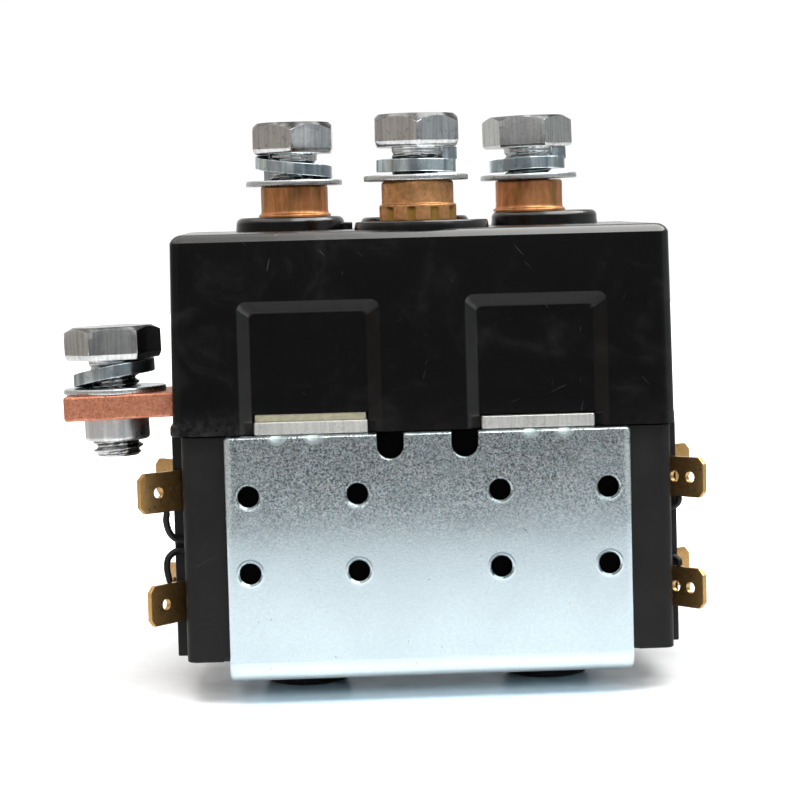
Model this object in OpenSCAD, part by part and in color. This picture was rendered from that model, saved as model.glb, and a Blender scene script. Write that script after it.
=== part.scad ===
// Paired single-pole changeover contactor for direct current.
// Origin: centre of the bracket's hole pattern, on the bracket's front face.
// +X to the right seen from the bracket's front, +Y away from the viewer
// (from the bracket into the body), +Z up towards the stud terminals.

/* [Bracket] */
// Width of the folded steel bracket
plate_w = 62.6; // [58:0.2:63]
// Sheet thickness of the bracket and the yoke plate
sheet_t = 2; // [1.6:0.1:2]
// Length of the bracket's bottom leg
leg_len = 46; // [40:1:47]
// Distance between the outer columns of holes
hole_out = 55.5; // [50:0.5:56]
// Distance between the inner columns of holes
hole_in = 22; // [18:0.5:26]
// Distance between the two rows of holes
hole_dz = 11.9; // [10:0.1:13]
// Diameter of the tapped holes in the bracket
hole_d = 3.3; // [2.9:0.1:3.6]

/* [Housing] */
// Width of the upper housing at its lower edge
housing_w = 77.4; // [76:0.2:79]
// Depth of the upper housing
housing_depth = 48; // [47:0.5:50]
// Height of the upper housing's top face above the hole pattern
housing_top = 46.95; // [46:0.05:48]
// Wall thickness of the upper housing
wall = 2.5; // [2:0.1:2.6]
// Draft of the upper housing on each side, at the top
draft = 0.4; // [0:0.1:0.8]
// Depth of the two front pockets
pocket_depth = 1.5; // [1:0.1:2]

/* [Coil case] */
// Width of the coil case's front block
case_w = 75.8; // [73:0.2:76]
// Width across the coil case's side pads
pad_w = 79.2; // [78.6:0.2:80]
// Height of the coil case's lower edge
case_bot = -19.8; // [-20:0.1:-19]

/* [Poles] */
// Distance from the centre plane to each pole's axis
pole_x = 19.5; // [19:0.1:20]
// Depth of the coil axes behind the bracket's front face
pole_y = 24; // [23.5:0.5:24.5]
// Stroke of the plungers
stroke = 3.8; // [3:0.1:4]
// Diameter of the plungers
plunger_d = 11; // [9:0.1:11]
// Gap between the open contacts
contact_gap = 3; // [2.5:0.1:3]

/* [Terminals] */
// Height of the three copper terminals' top faces
terminal_top = 53.85; // [52:0.05:56]
// Diameter of the two outer copper terminals
motor_stud_d = 11.1; // [10:0.1:11.4]
// Diameter of the middle copper terminal
supply_stud_d = 11.3; // [10:0.1:11.4]
// Width of the side busbar outside the housing
bar_w = 16; // [14:0.5:16]
// Thickness of the side busbar
bar_t = 3.8; // [3:0.1:4]
// Length of the spade blades with one hole
blade_l = 8.3; // [7:0.1:9]
// Length of the spade blades with two holes
blade_s = 7.4; // [7:0.1:9]
// Width of the spade blades
blade_w = 6.3; // [4.8:0.1:6.3]
// Thickness of the spade blades
blade_t = 0.8; // [0.6:0.1:0.8]

/* [Fasteners] */
// Distance across the flats of the terminal bolts' heads
bolt_af = 13; // [12:0.1:13]
// Height of the terminal bolts' heads
head_h = 5.2; // [5:0.1:5.6]
// Outer diameter of the terminal bolts' threads
bolt_d = 7.9; // [7.5:0.1:7.9]
// Outer diameter of the flat washers
washer_d = 16; // [15:0.1:17]
// Diameter of the feet, which are the core screws' heads
foot_d = 14.4; // [12:0.2:16]

/* [Hidden] */

plate_top = 15.3;
plate_bot = -23;
leg_top = plate_bot + sheet_t;
yoke_top = plate_top + sheet_t;
gasket_t = 1.1;
gasket_top = yoke_top + gasket_t;
bed_t = 1.3;
front_y = 0.3;
back_y = front_y + housing_depth;
case_back = 46;
bore_d = plunger_d + 0.16;
tube_d = 13.6;
flange_d = 29.6;
coil_d = 28;
chamber_d = 30.4;
front_tip_y = 12;
rear_tip_y = 36;
tip_d = 7;
bar_top = gasket_top + bar_t;
tip_low_top = bar_top + 1.4;
bridge_tip_bot = tip_low_top + contact_gap;
bridge_bot = bridge_tip_bot + 1.2;
bridge_t = 2.4;
bridge_top = bridge_bot + bridge_t;
bridge_tip_top = bridge_top + 1.2;
tip_up_bot = bridge_tip_top + 0.05;
arm_bot = tip_up_bot + 1.4;
arm_t = 2.5;
arm_top = arm_bot + arm_t;
plunger_bot = -4 + stroke;
plunger_top = yoke_top + 0.1 + stroke;
pocket_d = 6.2;
spring_low = -14;
spring_high = 7.8;
seat_top = plunger_top + 1.8;
rod_head = 38.6;
pocket_shift = -0.35;
pole_mid = 0.25;
house_mid = -0.33;
cover_x = 33.7;
bar_x0 = -55.9;
bend_x = -38;
bar_droop = -1.4;
bolt_x = -48.3;
washer_t = 0.9;
lock_h = 4.35;
foot_bot = -26.6;
coil_bot = case_bot + 1.5;
loose = 1;

// ---- helpers -------------------------------------------------------------

// centre of pole s (-1 left, +1 right)
function pole(s) = pole_mid + s * pole_x;
module at_pole(s) translate([pole(s), pole_y, 0]) children();

// ring between two heights
module ring(d_out, d_in, z0, z1)
  difference() {
    translate([0, 0, z0]) cylinder(d = d_out, h = z1 - z0, $fn = 96);
    translate([0, 0, z0 - 1]) cylinder(d = d_in, h = z1 - z0 + 2, $fn = 96);
  }

module disc(d, z0, z1, fn = 72) translate([0, 0, z0]) cylinder(d = d, h = z1 - z0, $fn = fn);

module box(x0, x1, y0, y1, z0, z1) translate([x0, y0, z0]) cube([x1 - x0, y1 - y0, z1 - z0]);

// a closed tube swept along points, n sides
function unit(v) = v / norm(v);
function tangent(p, i) =
  i == 0 ? unit(p[1] - p[0]) :
  i == len(p) - 1 ? unit(p[i] - p[i - 1]) : unit(p[i + 1] - p[i - 1]);
module sweep_tube(p, d, n = 8, ref = [0, 1, 0]) {
  pts = [for (i = [0:len(p) - 1]) let (t = tangent(p, i), u = unit(cross(t, ref)), v = cross(t, u))
      for (k = [0:n - 1]) p[i] + d / 2 * (cos(360 * k / n) * u + sin(360 * k / n) * v)];
  m = len(p);
  faces = concat(
    [[for (k = [0:n - 1]) k]],
    [for (i = [0:m - 2]) for (k = [0:n - 1]) let (a = i * n + k, b = i * n + (k + 1) % n)
        for (f = [[a, a + n, b + n], [a, b + n, b]]) f],
    [[for (k = [n - 1:-1:0]) (m - 1) * n + k]]
  );
  polyhedron(points = pts, faces = faces, convexity = 6);
}

// a cylindrical helix spring between z0 and z1, wire d, mean radius r, with closed ends
module coil_spring(r, d, z0, z1, turns, seg = 14, n = 8) {
  total = turns * seg;
  h = z1 - z0 - d;
  e = 1.07 * d;
  function rise(t) = let (q = t * turns) q < 1 ? e * q :
      q > turns - 1 ? h - e * (turns - q) :
      e + (h - 2 * e) * (q - 1) / (turns - 2);
  p = [for (i = [0:total]) let (t = i / total, a = 360 * turns * t)
      [r * cos(a), r * sin(a), z0 + d / 2 + rise(t)]];
  sweep_tube(p, d, n, [0, 0, 1]);
}

// a curve through a few points, each span in s steps
function cr(a, b, c, d, t) = 0.5 * ((2 * b) + (c - a) * t + (2 * a - 5 * b + 4 * c - d) * t * t
    + (3 * b - a - 3 * c + d) * t * t * t);
function smooth(p, s) = let (n = len(p)) concat([for (i = [0:n - 2]) for (k = [0:s - 1])
    cr(p[max(i - 1, 0)], p[i], p[i + 1], p[min(i + 2, n - 1)], k / s)], [p[n - 1]]);

// ---- magnet frame ---------------------------------------------------------

// folded bracket: front plate, bend and bottom leg, seen along +X as (y, z)
module bracket_profile() {
  ro = 3.6;
  ri = ro - sheet_t;
  translate([0, plate_bot + ro]) square([sheet_t, plate_top - plate_bot - ro]);
  translate([ro, plate_bot]) square([leg_len - ro, sheet_t]);
  intersection() {
    difference() {
      translate([ro, plate_bot + ro]) circle(r = ro, $fn = 72);
      translate([ro, plate_bot + ro]) circle(r = ri, $fn = 72);
    }
    translate([0, plate_bot]) square([ro, ro]);
  }
}

module mounting_bracket()
  color([0.78, 0.83, 0.86])
  difference() {
    translate([-plate_w / 2, 0, 0]) rotate([90, 0, 90]) linear_extrude(height = plate_w) bracket_profile();
    // tapped holes
    for (x = [-hole_out / 2, -hole_in / 2, hole_in / 2, hole_out / 2]) for (z = [-hole_dz / 2, hole_dz / 2])
      translate([x, -1, z]) rotate([-90, 0, 0]) cylinder(d = hole_d, h = sheet_t + 2, $fn = 48);
    // notches in the top edge
    for (x = [-5.75, 5.75]) {
      translate([x, -1, plate_top - 2.05]) rotate([-90, 0, 0]) cylinder(d = 3.9, h = sheet_t + 2, $fn = 48);
      box(x - 1.95, x + 1.95, -1, sheet_t + 1, plate_top - 2.05, plate_top + 1);
    }
    // staking dimples under the yoke's two tabs
    for (x = [-23.2, -17.5, 15.8, 21.1])
      translate([x, -0.75, plate_top + 0.15]) sphere(r = 1.15, $fn = 48);
    // small bevels at the plate's upper corners
    for (s = [-1, 1]) translate([s * plate_w / 2, 0, plate_top]) rotate([0, 45, 0])
      cube([1.4, 12, 1.4], center = true);
    // clearance holes of the core screws
    for (s = [-1, 1]) at_pole(s) disc(5.3, plate_bot - 1, leg_top + 1);
  }

// steel plate over the coils, with a tab into each front pocket
module yoke_plate()
  color([0.72, 0.76, 0.79])
  difference() {
    union() {
      box(-30.4, 30.4, 6.5, 45.4, plate_top, yoke_top);
      for (s = [-1, 1]) box(s * 17.5 + pocket_shift - 8.75, s * 17.5 + pocket_shift + 8.75, 0.35, 7, plate_top, yoke_top);
    }
    for (s = [-1, 1]) at_pole(s) disc(plunger_d + 0.8, plate_top - 1, yoke_top + 1);
  }

module core_outline(z0, z1) disc(plunger_d, z0, z1);

module fixed_core(s)
  color([0.62, 0.63, 0.64])
  at_pole(s) difference() {
    core_outline(leg_top, -4);
    disc(pocket_d, spring_low, -3);
    disc(5, leg_top - 1, -14.6);
  }

// screw that holds the core to the leg, with its round head as a foot
module core_screw(s)
  color([0.08, 0.08, 0.085])
  at_pole(s) difference() {
    union() {
      rotate_extrude($fn = 96) polygon([[0, foot_bot], [foot_d / 2 - 1.6, foot_bot], [foot_d / 2 - 0.45, foot_bot + 0.5],
          [foot_d / 2, foot_bot + 1.6], [foot_d / 2, plate_bot], [0, plate_bot]]);
      disc(4.96, plate_bot - 1, -15);
    }
    translate([0, 0, foot_bot - 1]) cylinder(d = 4.6, h = 3.2, $fn = 6);
  }

// ---- coils ------------------------------------------------------------------

module coil_case()
  color([0.13, 0.13, 0.14])
  difference() {
    union() {
      // front block with small vertical radii
      box(-case_w / 2, case_w / 2, sheet_t + 1, case_back, case_bot, plate_top);
      box(-case_w / 2 + 1, case_w / 2 - 1, sheet_t, sheet_t + 2, case_bot, plate_top);
      for (s = [-1, 1]) translate([s * (case_w / 2 - 1), sheet_t + 1, 0]) disc(2, case_bot, plate_top, 48);
      // side pads around the spade terminals
      for (s = [-1, 1]) box(min(s * 36, s * pad_w / 2), max(s * 36, s * pad_w / 2), 9.3, 26.7, case_bot, plate_top);
    }
    // chambers of the two coils, open at the top, and the core holes in their floor
    for (s = [-1, 1]) at_pole(s) {
      disc(chamber_d, coil_bot, plate_top + 1);
      disc(plunger_d + 0.2, case_bot - 1, coil_bot + 1);
    }
    // seats of the spade terminals
    for (s = [-1, 1]) for (z = [spade_z(1), spade_z(-1)])
      box(min(s * 38.08, s * 38.92), max(s * 38.08, s * 38.92), 9, 27, z - blade_w / 2 - 0.02, z + blade_w / 2 + 0.02);
    // bevel clear of the bracket's bend
    translate([0, sheet_t, case_bot]) rotate([45, 0, 0]) cube([plate_w + 2, 1.06, 1.06], center = true);
    // outlets of the coil leads
    for (s = [-1, 1]) for (z = [lead_z(s, 1), lead_z(s, -1)])
      translate([s * 33.6, 8.3, z]) rotate([0, s * 90, 0]) cylinder(d = 1.2, h = 6, $fn = 32);
    // pilot holes of the cover screws
    for (s = [-1, 1]) translate([s * cover_x, 42.6, 0]) disc(2.94, 3.5, plate_top + 1, 32);
  }

module bobbin(s)
  color([0.9, 0.88, 0.8])
  at_pole(s) union() {
    ring(flange_d, bore_d, coil_bot, coil_bot + 1.5);
    ring(flange_d, bore_d, plate_top - 1.5, plate_top);
    ring(tube_d, bore_d, coil_bot, plate_top);
  }

module winding(s)
  color([0.62, 0.3, 0.14])
  at_pole(s) ring(coil_d, tube_d + 0.02, coil_bot + 1.5, plate_top - 1.5);

function spade_z(k) = k > 0 ? 6.45 : -10.95;
function lead_z(s, k) = s < 0 ? (k > 0 ? -1.45 : -2.95) : (k > 0 ? 1.6 : -6.4);

// cuts of one spade blade along +X: the tip's two corners and one or two holes
module blade_cuts(l, holes) {
  for (k = [-1, 1]) translate([l, 0, k * blade_w / 2]) rotate([0, 45, 0]) cube([1.3, 2, 1.3], center = true);
  for (x = holes) translate([x, -1, 0]) rotate([-90, 0, 0]) cylinder(d = 1.7, h = 2, $fn = 32);
}

// outline of a strip of thickness t whose middle line runs through the points p
function left_of(v) = [-v[1], v[0]];
function mitre(p, i) = i == 0 ? left_of(unit(p[1] - p[0])) :
  i == len(p) - 1 ? left_of(unit(p[i] - p[i - 1])) :
  let (a = left_of(unit(p[i] - p[i - 1])), b = left_of(unit(p[i + 1] - p[i]))) (a + b) / (1 + a * b);
function strip(p, t) = concat([for (i = [0:len(p) - 1]) p[i] + mitre(p, i) * t / 2],
    [for (i = [len(p) - 1:-1:0]) p[i] - mitre(p, i) * t / 2]);

// double spade terminal: a flat base in the case's pad, its two ends bent outwards,
// one blade with one hole (in front on the left side) and one with two
module spades(s, k, bend_front, bend_rear, front_l = blade_l, rear_l = blade_s, front_holes = [4.6], rear_holes = [1.4, 4.6])
  color([0.72, 0.55, 0.28])
  translate([0, 0, spade_z(k)]) difference() {
    translate([0, 0, -blade_w / 2]) linear_extrude(height = blade_w) polygon(strip([
        [s * (38.5 + front_l * cos(bend_front)), 9.1 - front_l * sin(bend_front)],
        [s * 38.5, 9.1], [s * 38.5, 26.9],
        [s * (38.5 + rear_l * cos(bend_rear)), 26.9 + rear_l * sin(bend_rear)]], blade_t));
    translate([s * 38.5, 9.1, 0]) rotate([0, 0, s > 0 ? -bend_front : 180 + bend_front]) blade_cuts(front_l, front_holes);
    translate([s * 38.5, 26.9, 0]) rotate([0, 0, s > 0 ? bend_rear : 180 - bend_rear]) blade_cuts(rear_l, rear_holes);
  }

// coil leads, from the case to the blades; the left pair stands out in two loops
lead_lu = [[-35.6, 8.3, -1.45], [-37.8, 8.3, -1.45], [-39.3, 8.1, -1.1], [-40.3, 7.6, 0], [-40.75, 7.2, 1.8], [-40.6, 7.1, 3.05]];
lead_ll = [[-35.6, 8.3, -2.95], [-37.8, 8.3, -2.95], [-39.4, 8.1, -3.05], [-40.6, 7.6, -4], [-40.85, 7.2, -5.6], [-40.5, 6.9, -7.5]];
lead_ru = [[35.6, 8.3, 1.6], [37.8, 8.3, 1.6], [38.9, 8.1, 1.7], [39.6, 7.9, 2.3], [39.75, 7.7, 3]];
lead_rl = [[35.6, 8.3, -6.4], [37.8, 8.3, -6.4], [38.9, 8.1, -6.45], [39.5, 7.75, -6.9], [39.6, 7.62, -7.48]];

module coil_leads(s)
  color([0.07, 0.07, 0.075])
  for (p = s < 0 ? [lead_lu, lead_ll] : [lead_ru, lead_rl]) sweep_tube(smooth(p, 4), 1, 8);

// ---- housing and insulation ---------------------------------------------------

module insulating_gasket()
  color([0.86, 0.82, 0.7])
  difference() {
    union() {
      box(-30.2, 30.2, 6.6, 45.4, yoke_top, gasket_top);
      box(-17.5 + pocket_shift - 8.6, -17.5 + pocket_shift + 8.6, 2, 7, yoke_top, gasket_top);
    }
    for (s = [-1, 1]) at_pole(s) disc(14.2, yoke_top - 1, gasket_top + 1);
  }

// moulded bed that carries the rear contact brackets
module contact_bed()
  color([0.2, 0.2, 0.21])
  difference() {
    box(-30.2, 30.2, 30.6, 45.4, gasket_top, gasket_top + bed_t);
    for (s = [-1, 1]) at_pole(s) disc(14.2, gasket_top - 1, gasket_top + bed_t + 1);
  }

// space of one front pocket: straight at the front face, sloping to its floor
module pocket(cx, w_out, w_in, top_out, top_in)
  hull() {
    box(cx - w_out / 2, cx + w_out / 2, front_y - 0.6, front_y, 10, top_out);
    box(cx - w_in / 2, cx + w_in / 2, front_y, front_y + pocket_depth, 10, top_in);
  }

module upper_housing()
  color([0.07, 0.07, 0.075])
  difference() {
    union() {
      difference() {
        // outer shell: drafted sides, rounded top edge and corners
        hull() {
          for (sx = [-1, 1]) for (y = [front_y + 1.8, back_y - 1.8])
            translate([house_mid + sx * (housing_w / 2 - 1.8), y, plate_top + 0.15]) cylinder(r = 1.8, h = 1, $fn = 32);
          for (sx = [-1, 1]) for (y = [front_y + 1.9, back_y - 1.9])
            translate([house_mid + sx * (housing_w / 2 - draft - 1.6), y, housing_top - 1.6]) sphere(r = 1.6, $fn = 24);
        }
        difference() {
          box(house_mid - housing_w / 2 + wall, house_mid + housing_w / 2 - wall, front_y + wall, back_y - wall, plate_top - 1, housing_top - wall);
          // walls behind the two pockets
          for (s = [-1, 1]) box(s * 17.5 + pocket_shift - 12.4, s * 17.5 + pocket_shift + 12.4,
              0, front_y + pocket_depth + 2.2, plate_top - 2, 38.2);
          // posts of the cover screws
          for (s = [-1, 1]) translate([s * cover_x, 42.6, 0]) disc(6, plate_top - 2, housing_top, 48);
        }
      }
      // bosses round the terminals
      translate([-20.05, rear_tip_y, 0]) disc(17.9, housing_top - 1, housing_top + 1.8, 96);
      translate([22.2, rear_tip_y, 0]) disc(17.5, housing_top - 1, housing_top + 1.8, 96);
      translate([0.6, rear_tip_y, 0]) disc(17.8, housing_top - 1, housing_top + 1.4, 96);
      translate([0.5, front_tip_y, 0]) disc(21, housing_top - 1, housing_top + 0.65, 96);
    }
    pocket(-17.5 + pocket_shift, 21.5, 18, 35.75, 33.75);
    pocket(17.5 + pocket_shift, 21.5, 18, 36.05, 34);
    // slots for the yoke's tabs and the gasket's tab
    box(-17.5 + pocket_shift - 8.9, -17.5 + pocket_shift + 8.9, -1, 8, 10, gasket_top + 0.05);
    box(17.5 + pocket_shift - 8.9, 17.5 + pocket_shift + 8.9, -1, 8, 10, yoke_top + 0.25);
    // terminal holes
    for (s = [-1, 1]) translate([pole(s), rear_tip_y, 0]) disc(motor_stud_d + 0.1, 40, 60);
    translate([0, front_tip_y, 0]) disc(supply_stud_d + 0.1, 40, 60);
    // slot of the side busbar
    box(-50, -30, front_tip_y - bar_w / 2 - 0.1, front_tip_y + bar_w / 2 + 0.1, gasket_top - 0.15, bar_top + 0.15);
    // cover screws
    for (s = [-1, 1]) translate([s * cover_x, 42.6, 0]) {
      disc(3.2, 10, 60, 32);
      disc(5.2, housing_top - 2.6, 60, 48);
    }
    // room for the yoke plate, the gasket and the bed
    box(-30.6, 30.6, 6.3, 45.7, 10, yoke_top + 0.2);
  }

module cover_screws()
  color([0.7, 0.72, 0.74])
  for (s = [-1, 1]) translate([s * cover_x, 42.6, 0]) difference() {
    union() {
      disc(5, housing_top - 2.6, housing_top - 0.6, 48);
      disc(2.9, 4, housing_top - 2, 32);
    }
    for (a = [0, 90]) rotate([0, 0, a]) box(-1.6, 1.6, -0.35, 0.35, housing_top - 1.9, housing_top);
  }

// ---- moving pieces -------------------------------------------------------------

module plunger(s)
  color([0.66, 0.67, 0.68])
  at_pole(s) difference() {
    disc(plunger_d, plunger_bot, plunger_top, 96);
    disc(pocket_d, plunger_bot - 1, spring_high);
    disc(4, plunger_top - 6, plunger_top + 1, 48);
  }

module push_rod(s)
  color([0.8, 0.81, 0.82])
  at_pole(s) union() {
    disc(3.96, plunger_top - 5.8, rod_head + 0.5, 48);
    rotate_extrude($fn = 64) polygon([[0, rod_head], [4.4, rod_head], [4.4, rod_head + 0.8], [3.4, rod_head + 1.5], [0, rod_head + 1.5]]);
  }

module spring_seat(s)
  color([0.55, 0.2, 0.12])
  at_pole(s) difference() {
    union() {
      disc(13, plunger_top, seat_top);
      disc(6.4, plunger_top, seat_top + 1.1);
    }
    disc(4.04, plunger_top - 1, seat_top + 3, 48);
  }

module return_spring(s)
  color([0.75, 0.76, 0.78])
  at_pole(s) coil_spring(2.4, 0.7, spring_low + 0.02, spring_high - 0.02, 9);

module lower_contact_spring(s)
  color([0.75, 0.76, 0.78])
  at_pole(s) coil_spring(4.1, 0.8, seat_top + 0.02, bridge_tip_bot - 0.02, 3);

module upper_contact_spring(s)
  color([0.75, 0.76, 0.78])
  at_pole(s) coil_spring(3.6, 0.8, bridge_tip_top + 0.02, rod_head - 0.02, 5);

// insulating bush that slides on the rod and grips the bridge
module bridge_bush(s)
  color([0.55, 0.2, 0.12])
  at_pole(s) difference() {
    union() {
      disc(10.6, bridge_tip_bot, bridge_bot);
      disc(6.5, bridge_tip_bot, bridge_tip_top);
      disc(10.6, bridge_top, bridge_tip_top);
    }
    disc(4.12, bridge_tip_bot - 1, bridge_tip_top + 1, 48);
  }

module contact_bridge(s)
  color([0.75, 0.42, 0.28])
  difference() {
    union() {
      box(pole(s) - 4.6, pole(s) + 4.6, front_tip_y, rear_tip_y, bridge_bot, bridge_top);
      for (y = [front_tip_y, rear_tip_y]) translate([pole(s), y, 0]) disc(9.2, bridge_bot, bridge_top);
      at_pole(s) disc(11.4, bridge_bot, bridge_top);
    }
    at_pole(s) disc(6.54, bridge_bot - 1, bridge_top + 1);
  }

module bridge_tips(s)
  color([0.85, 0.85, 0.83])
  for (y = [front_tip_y, rear_tip_y]) translate([pole(s), y, 0]) {
    disc(tip_d, bridge_tip_bot, bridge_bot);
    disc(tip_d, bridge_top, bridge_tip_top);
  }

module fixed_contact_tips()
  color([0.85, 0.85, 0.83])
  for (s = [-1, 1]) for (y = [front_tip_y, rear_tip_y]) translate([pole(s), y, 0]) {
    disc(tip_d, bar_top, tip_low_top);
    disc(tip_d, tip_up_bot, arm_bot);
  }

// ---- conductors -----------------------------------------------------------------

module upper_contact_bar()
  color([0.75, 0.42, 0.28])
  difference() {
    union() {
      box(pole(-1), pole(1), front_tip_y - 5, front_tip_y + 5, arm_bot, arm_top);
      for (s = [-1, 1]) translate([pole(s), front_tip_y, 0]) disc(10, arm_bot, arm_top);
    }
    translate([0, front_tip_y, 0]) disc(8.04, arm_bot - 1, arm_top + 1);
  }

// folded strip of one pole's rear contact, seen along +X as (y, z)
module c_profile() {
  y0 = 31.6;
  y1 = 44;
  z0 = gasket_top + bed_t;
  ro = 3.4;
  ri = ro - arm_t;
  translate([y0, arm_bot]) square([y1 - ro - y0, arm_t]);
  translate([y0, z0]) square([y1 - ro - y0, arm_t]);
  translate([y1 - arm_t, z0 + ro]) square([arm_t, arm_top - z0 - 2 * ro]);
  intersection() {
    difference() {
      translate([y1 - ro, z0 + ro]) circle(r = ro, $fn = 64);
      translate([y1 - ro, z0 + ro]) circle(r = ri, $fn = 64);
    }
    translate([y1 - ro, z0]) square(ro);
  }
  intersection() {
    difference() {
      translate([y1 - ro, arm_top - ro]) circle(r = ro, $fn = 64);
      translate([y1 - ro, arm_top - ro]) circle(r = ri, $fn = 64);
    }
    translate([y1 - ro, arm_top - ro]) square(ro);
  }
}

module contact_bracket(s)
  color([0.75, 0.42, 0.28])
  difference() {
    translate([pole(s) - 6, 0, 0]) rotate([90, 0, 90]) linear_extrude(height = 12) c_profile();
    translate([pole(s), rear_tip_y, 0]) disc(8.04, arm_bot - 1, arm_top + 1);
  }

// round copper terminal with a threaded hole and a riveted lower end
module stud(d, hole)
  difference() {
    union() {
      disc(d, arm_top, terminal_top, 96);
      disc(8, arm_bot, arm_top + 1);
    }
    disc(hole, terminal_top - 13, terminal_top + 1);
  }

module supply_terminal()
  color([0.66, 0.42, 0.24])
  translate([0, front_tip_y, 0]) difference() {
    union() {
      stud(supply_stud_d, 8);
      ring(12.1, 10.5, housing_top + 0.65, 50.15);
    }
    // flutes of the collar
    for (a = [0:36:324]) rotate([0, 0, a + 5]) translate([6.85, 0, 0]) disc(2.3, housing_top, 49.65, 24);
  }

module motor_terminal(s)
  color([0.7, 0.42, 0.26])
  translate([pole(s), rear_tip_y, 0]) union() {
    stud(motor_stud_d, s > 0 ? 8.5 : 8);
    ring(12, 10, housing_top + 1.8, housing_top + 2.3);
  }

// turns what lies outside the housing down by the busbar's slight droop
module droop() translate([bend_x, 0, bar_top]) rotate([0, bar_droop, 0]) translate([-bend_x, 0, -bar_top]) children();

module side_busbar()
  color([0.8, 0.5, 0.38])
  difference() {
    union() {
      translate([0, front_tip_y + bar_w / 2, 0]) rotate([90, 0, 0]) linear_extrude(height = bar_w) polygon([
          [-34, gasket_top], [-34, bar_top], [bend_x, bar_top],
          [bend_x + (bar_x0 - bend_x) * cos(bar_droop), bar_top - (bar_x0 - bend_x) * sin(bar_droop)],
          [bend_x + (bar_x0 - bend_x) * cos(bar_droop) - bar_t * sin(bar_droop),
            bar_top - (bar_x0 - bend_x) * sin(bar_droop) - bar_t * cos(bar_droop)],
          [bend_x - bar_t * tan(bar_droop / 2), gasket_top]]);
      box(-34.5, pole(1), front_tip_y - 5, front_tip_y + 5, gasket_top, bar_top);
      translate([pole(1), front_tip_y, 0]) disc(10, gasket_top, bar_top);
    }
    droop() translate([bolt_x, front_tip_y, 0]) disc(9, gasket_top - 1, bar_top + 1);
  }

module clinch_nut()
  color([0.75, 0.77, 0.79])
  droop() translate([bolt_x, front_tip_y, 0]) difference() {
    union() {
      rotate_extrude($fn = 96) polygon([[0, gasket_top - 3.7], [4.4, gasket_top - 3.7], [5, gasket_top - 3.05],
          [5, gasket_top], [0, gasket_top]]);
      disc(8.98, gasket_top - 1, bar_top - 0.1);
    }
    disc(8, gasket_top - 5, bar_top + 1);
  }

// ---- terminal bolts and washers ---------------------------------------------------

// hexagon bolt with its head's underside at z = 0, a vertex of the head towards a
module hex_bolt(a, l)
  union() {
    intersection() {
      rotate([0, 0, a]) cylinder(d = bolt_af / cos(30), h = head_h, $fn = 6);
      rotate_extrude($fn = 96) polygon([[0, 0], [7.1, 0], [7.6, 0.3], [7.6, head_h - 0.9], [6.1, head_h], [0, head_h]]);
    }
    translate([0, 0, -l + 0.6]) cylinder(d = bolt_d, h = l + 0.4, $fn = 72);
    translate([0, 0, -l]) cylinder(d1 = bolt_d - 1.2, d2 = bolt_d, h = 0.6, $fn = 72);
  }

// split spring washer on z = 0: the ring climbs h above its own thickness
module lock_washer(a, hand, t = 2, h = lock_h - 2)
  rotate([0, 0, a]) {
    n = 44;
    ri = 4.1;
    ro = 6.4;
    gap = 9;
    pts = [for (i = [0:n]) let (u = i / n, b = hand * (gap / 2 + u * (360 - gap)), z = u * h)
        for (q = [[ri, z], [ro, z], [ro, z + t], [ri, z + t]]) [q[0] * cos(b), q[0] * sin(b), q[1]]];
    ring_faces = [for (i = [0:n - 1]) for (k = [0:3]) [i * 4 + k, i * 4 + (k + 1) % 4, (i + 1) * 4 + (k + 1) % 4, (i + 1) * 4 + k]];
    ends = [[3, 2, 1, 0], [n * 4, n * 4 + 1, n * 4 + 2, n * 4 + 3]];
    all_faces = concat(ring_faces, ends);
    polyhedron(points = pts, faces = hand < 0 ? all_faces : [for (f = all_faces) [for (j = [len(f) - 1:-1:0]) f[j]]], convexity = 6);
  }

// places: 0 side, 1 middle, 2 left, 3 right
module at_terminal(i) {
  if (i == 0) droop() translate([bolt_x, front_tip_y, bar_top]) children();
  if (i == 1) translate([0, front_tip_y, terminal_top]) children();
  if (i == 2) translate([pole(-1), rear_tip_y, terminal_top]) children();
  if (i == 3) translate([pole(1), rear_tip_y, terminal_top + 0.13]) rotate([0, -loose, 0]) children();
}
head_turn = [3.9, -91.35, -92.7, -11.5];
lock_turn = [105, -8, 146, -11];
lock_hand = [1, -1, -1, -1];

module terminal_bolt(i)
  color([0.76, 0.78, 0.8])
  at_terminal(i) translate([0, 0, washer_t + lock_h]) hex_bolt(head_turn[i], 15.3);

module spring_washers()
  color([0.7, 0.73, 0.76])
  for (i = [0:3]) at_terminal(i) translate([0, 0, washer_t]) lock_washer(lock_turn[i], lock_hand[i]);

module flat_washers()
  color([0.74, 0.76, 0.78])
  for (i = [0:3]) at_terminal(i) ring(washer_d, 8.4, 0, washer_t);

// ---- pieces ---------------------------------------------------------------------

mounting_bracket();
yoke_plate();
insulating_gasket();
contact_bed();
coil_case();
upper_housing();
cover_screws();
bobbin(-1);  // left_bobbin
bobbin(1);  // right_bobbin
winding(-1);  // left_winding
winding(1);  // right_winding
fixed_core(-1);  // left_fixed_core
fixed_core(1);  // right_fixed_core
core_screw(-1);  // left_core_screw
core_screw(1);  // right_core_screw
return_spring(-1);  // left_return_spring
return_spring(1);  // right_return_spring
plunger(-1);  // left_plunger
plunger(1);  // right_plunger
push_rod(-1);  // left_push_rod
push_rod(1);  // right_push_rod
spring_seat(-1);  // left_spring_seat
spring_seat(1);  // right_spring_seat
lower_contact_spring(-1);  // left_lower_contact_spring
lower_contact_spring(1);  // right_lower_contact_spring
upper_contact_spring(-1);  // left_upper_contact_spring
upper_contact_spring(1);  // right_upper_contact_spring
bridge_bush(-1);  // left_bridge_bush
bridge_bush(1);  // right_bridge_bush
contact_bridge(-1);  // left_contact_bridge
contact_bridge(1);  // right_contact_bridge
bridge_tips(-1);  // left_bridge_tips
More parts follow.
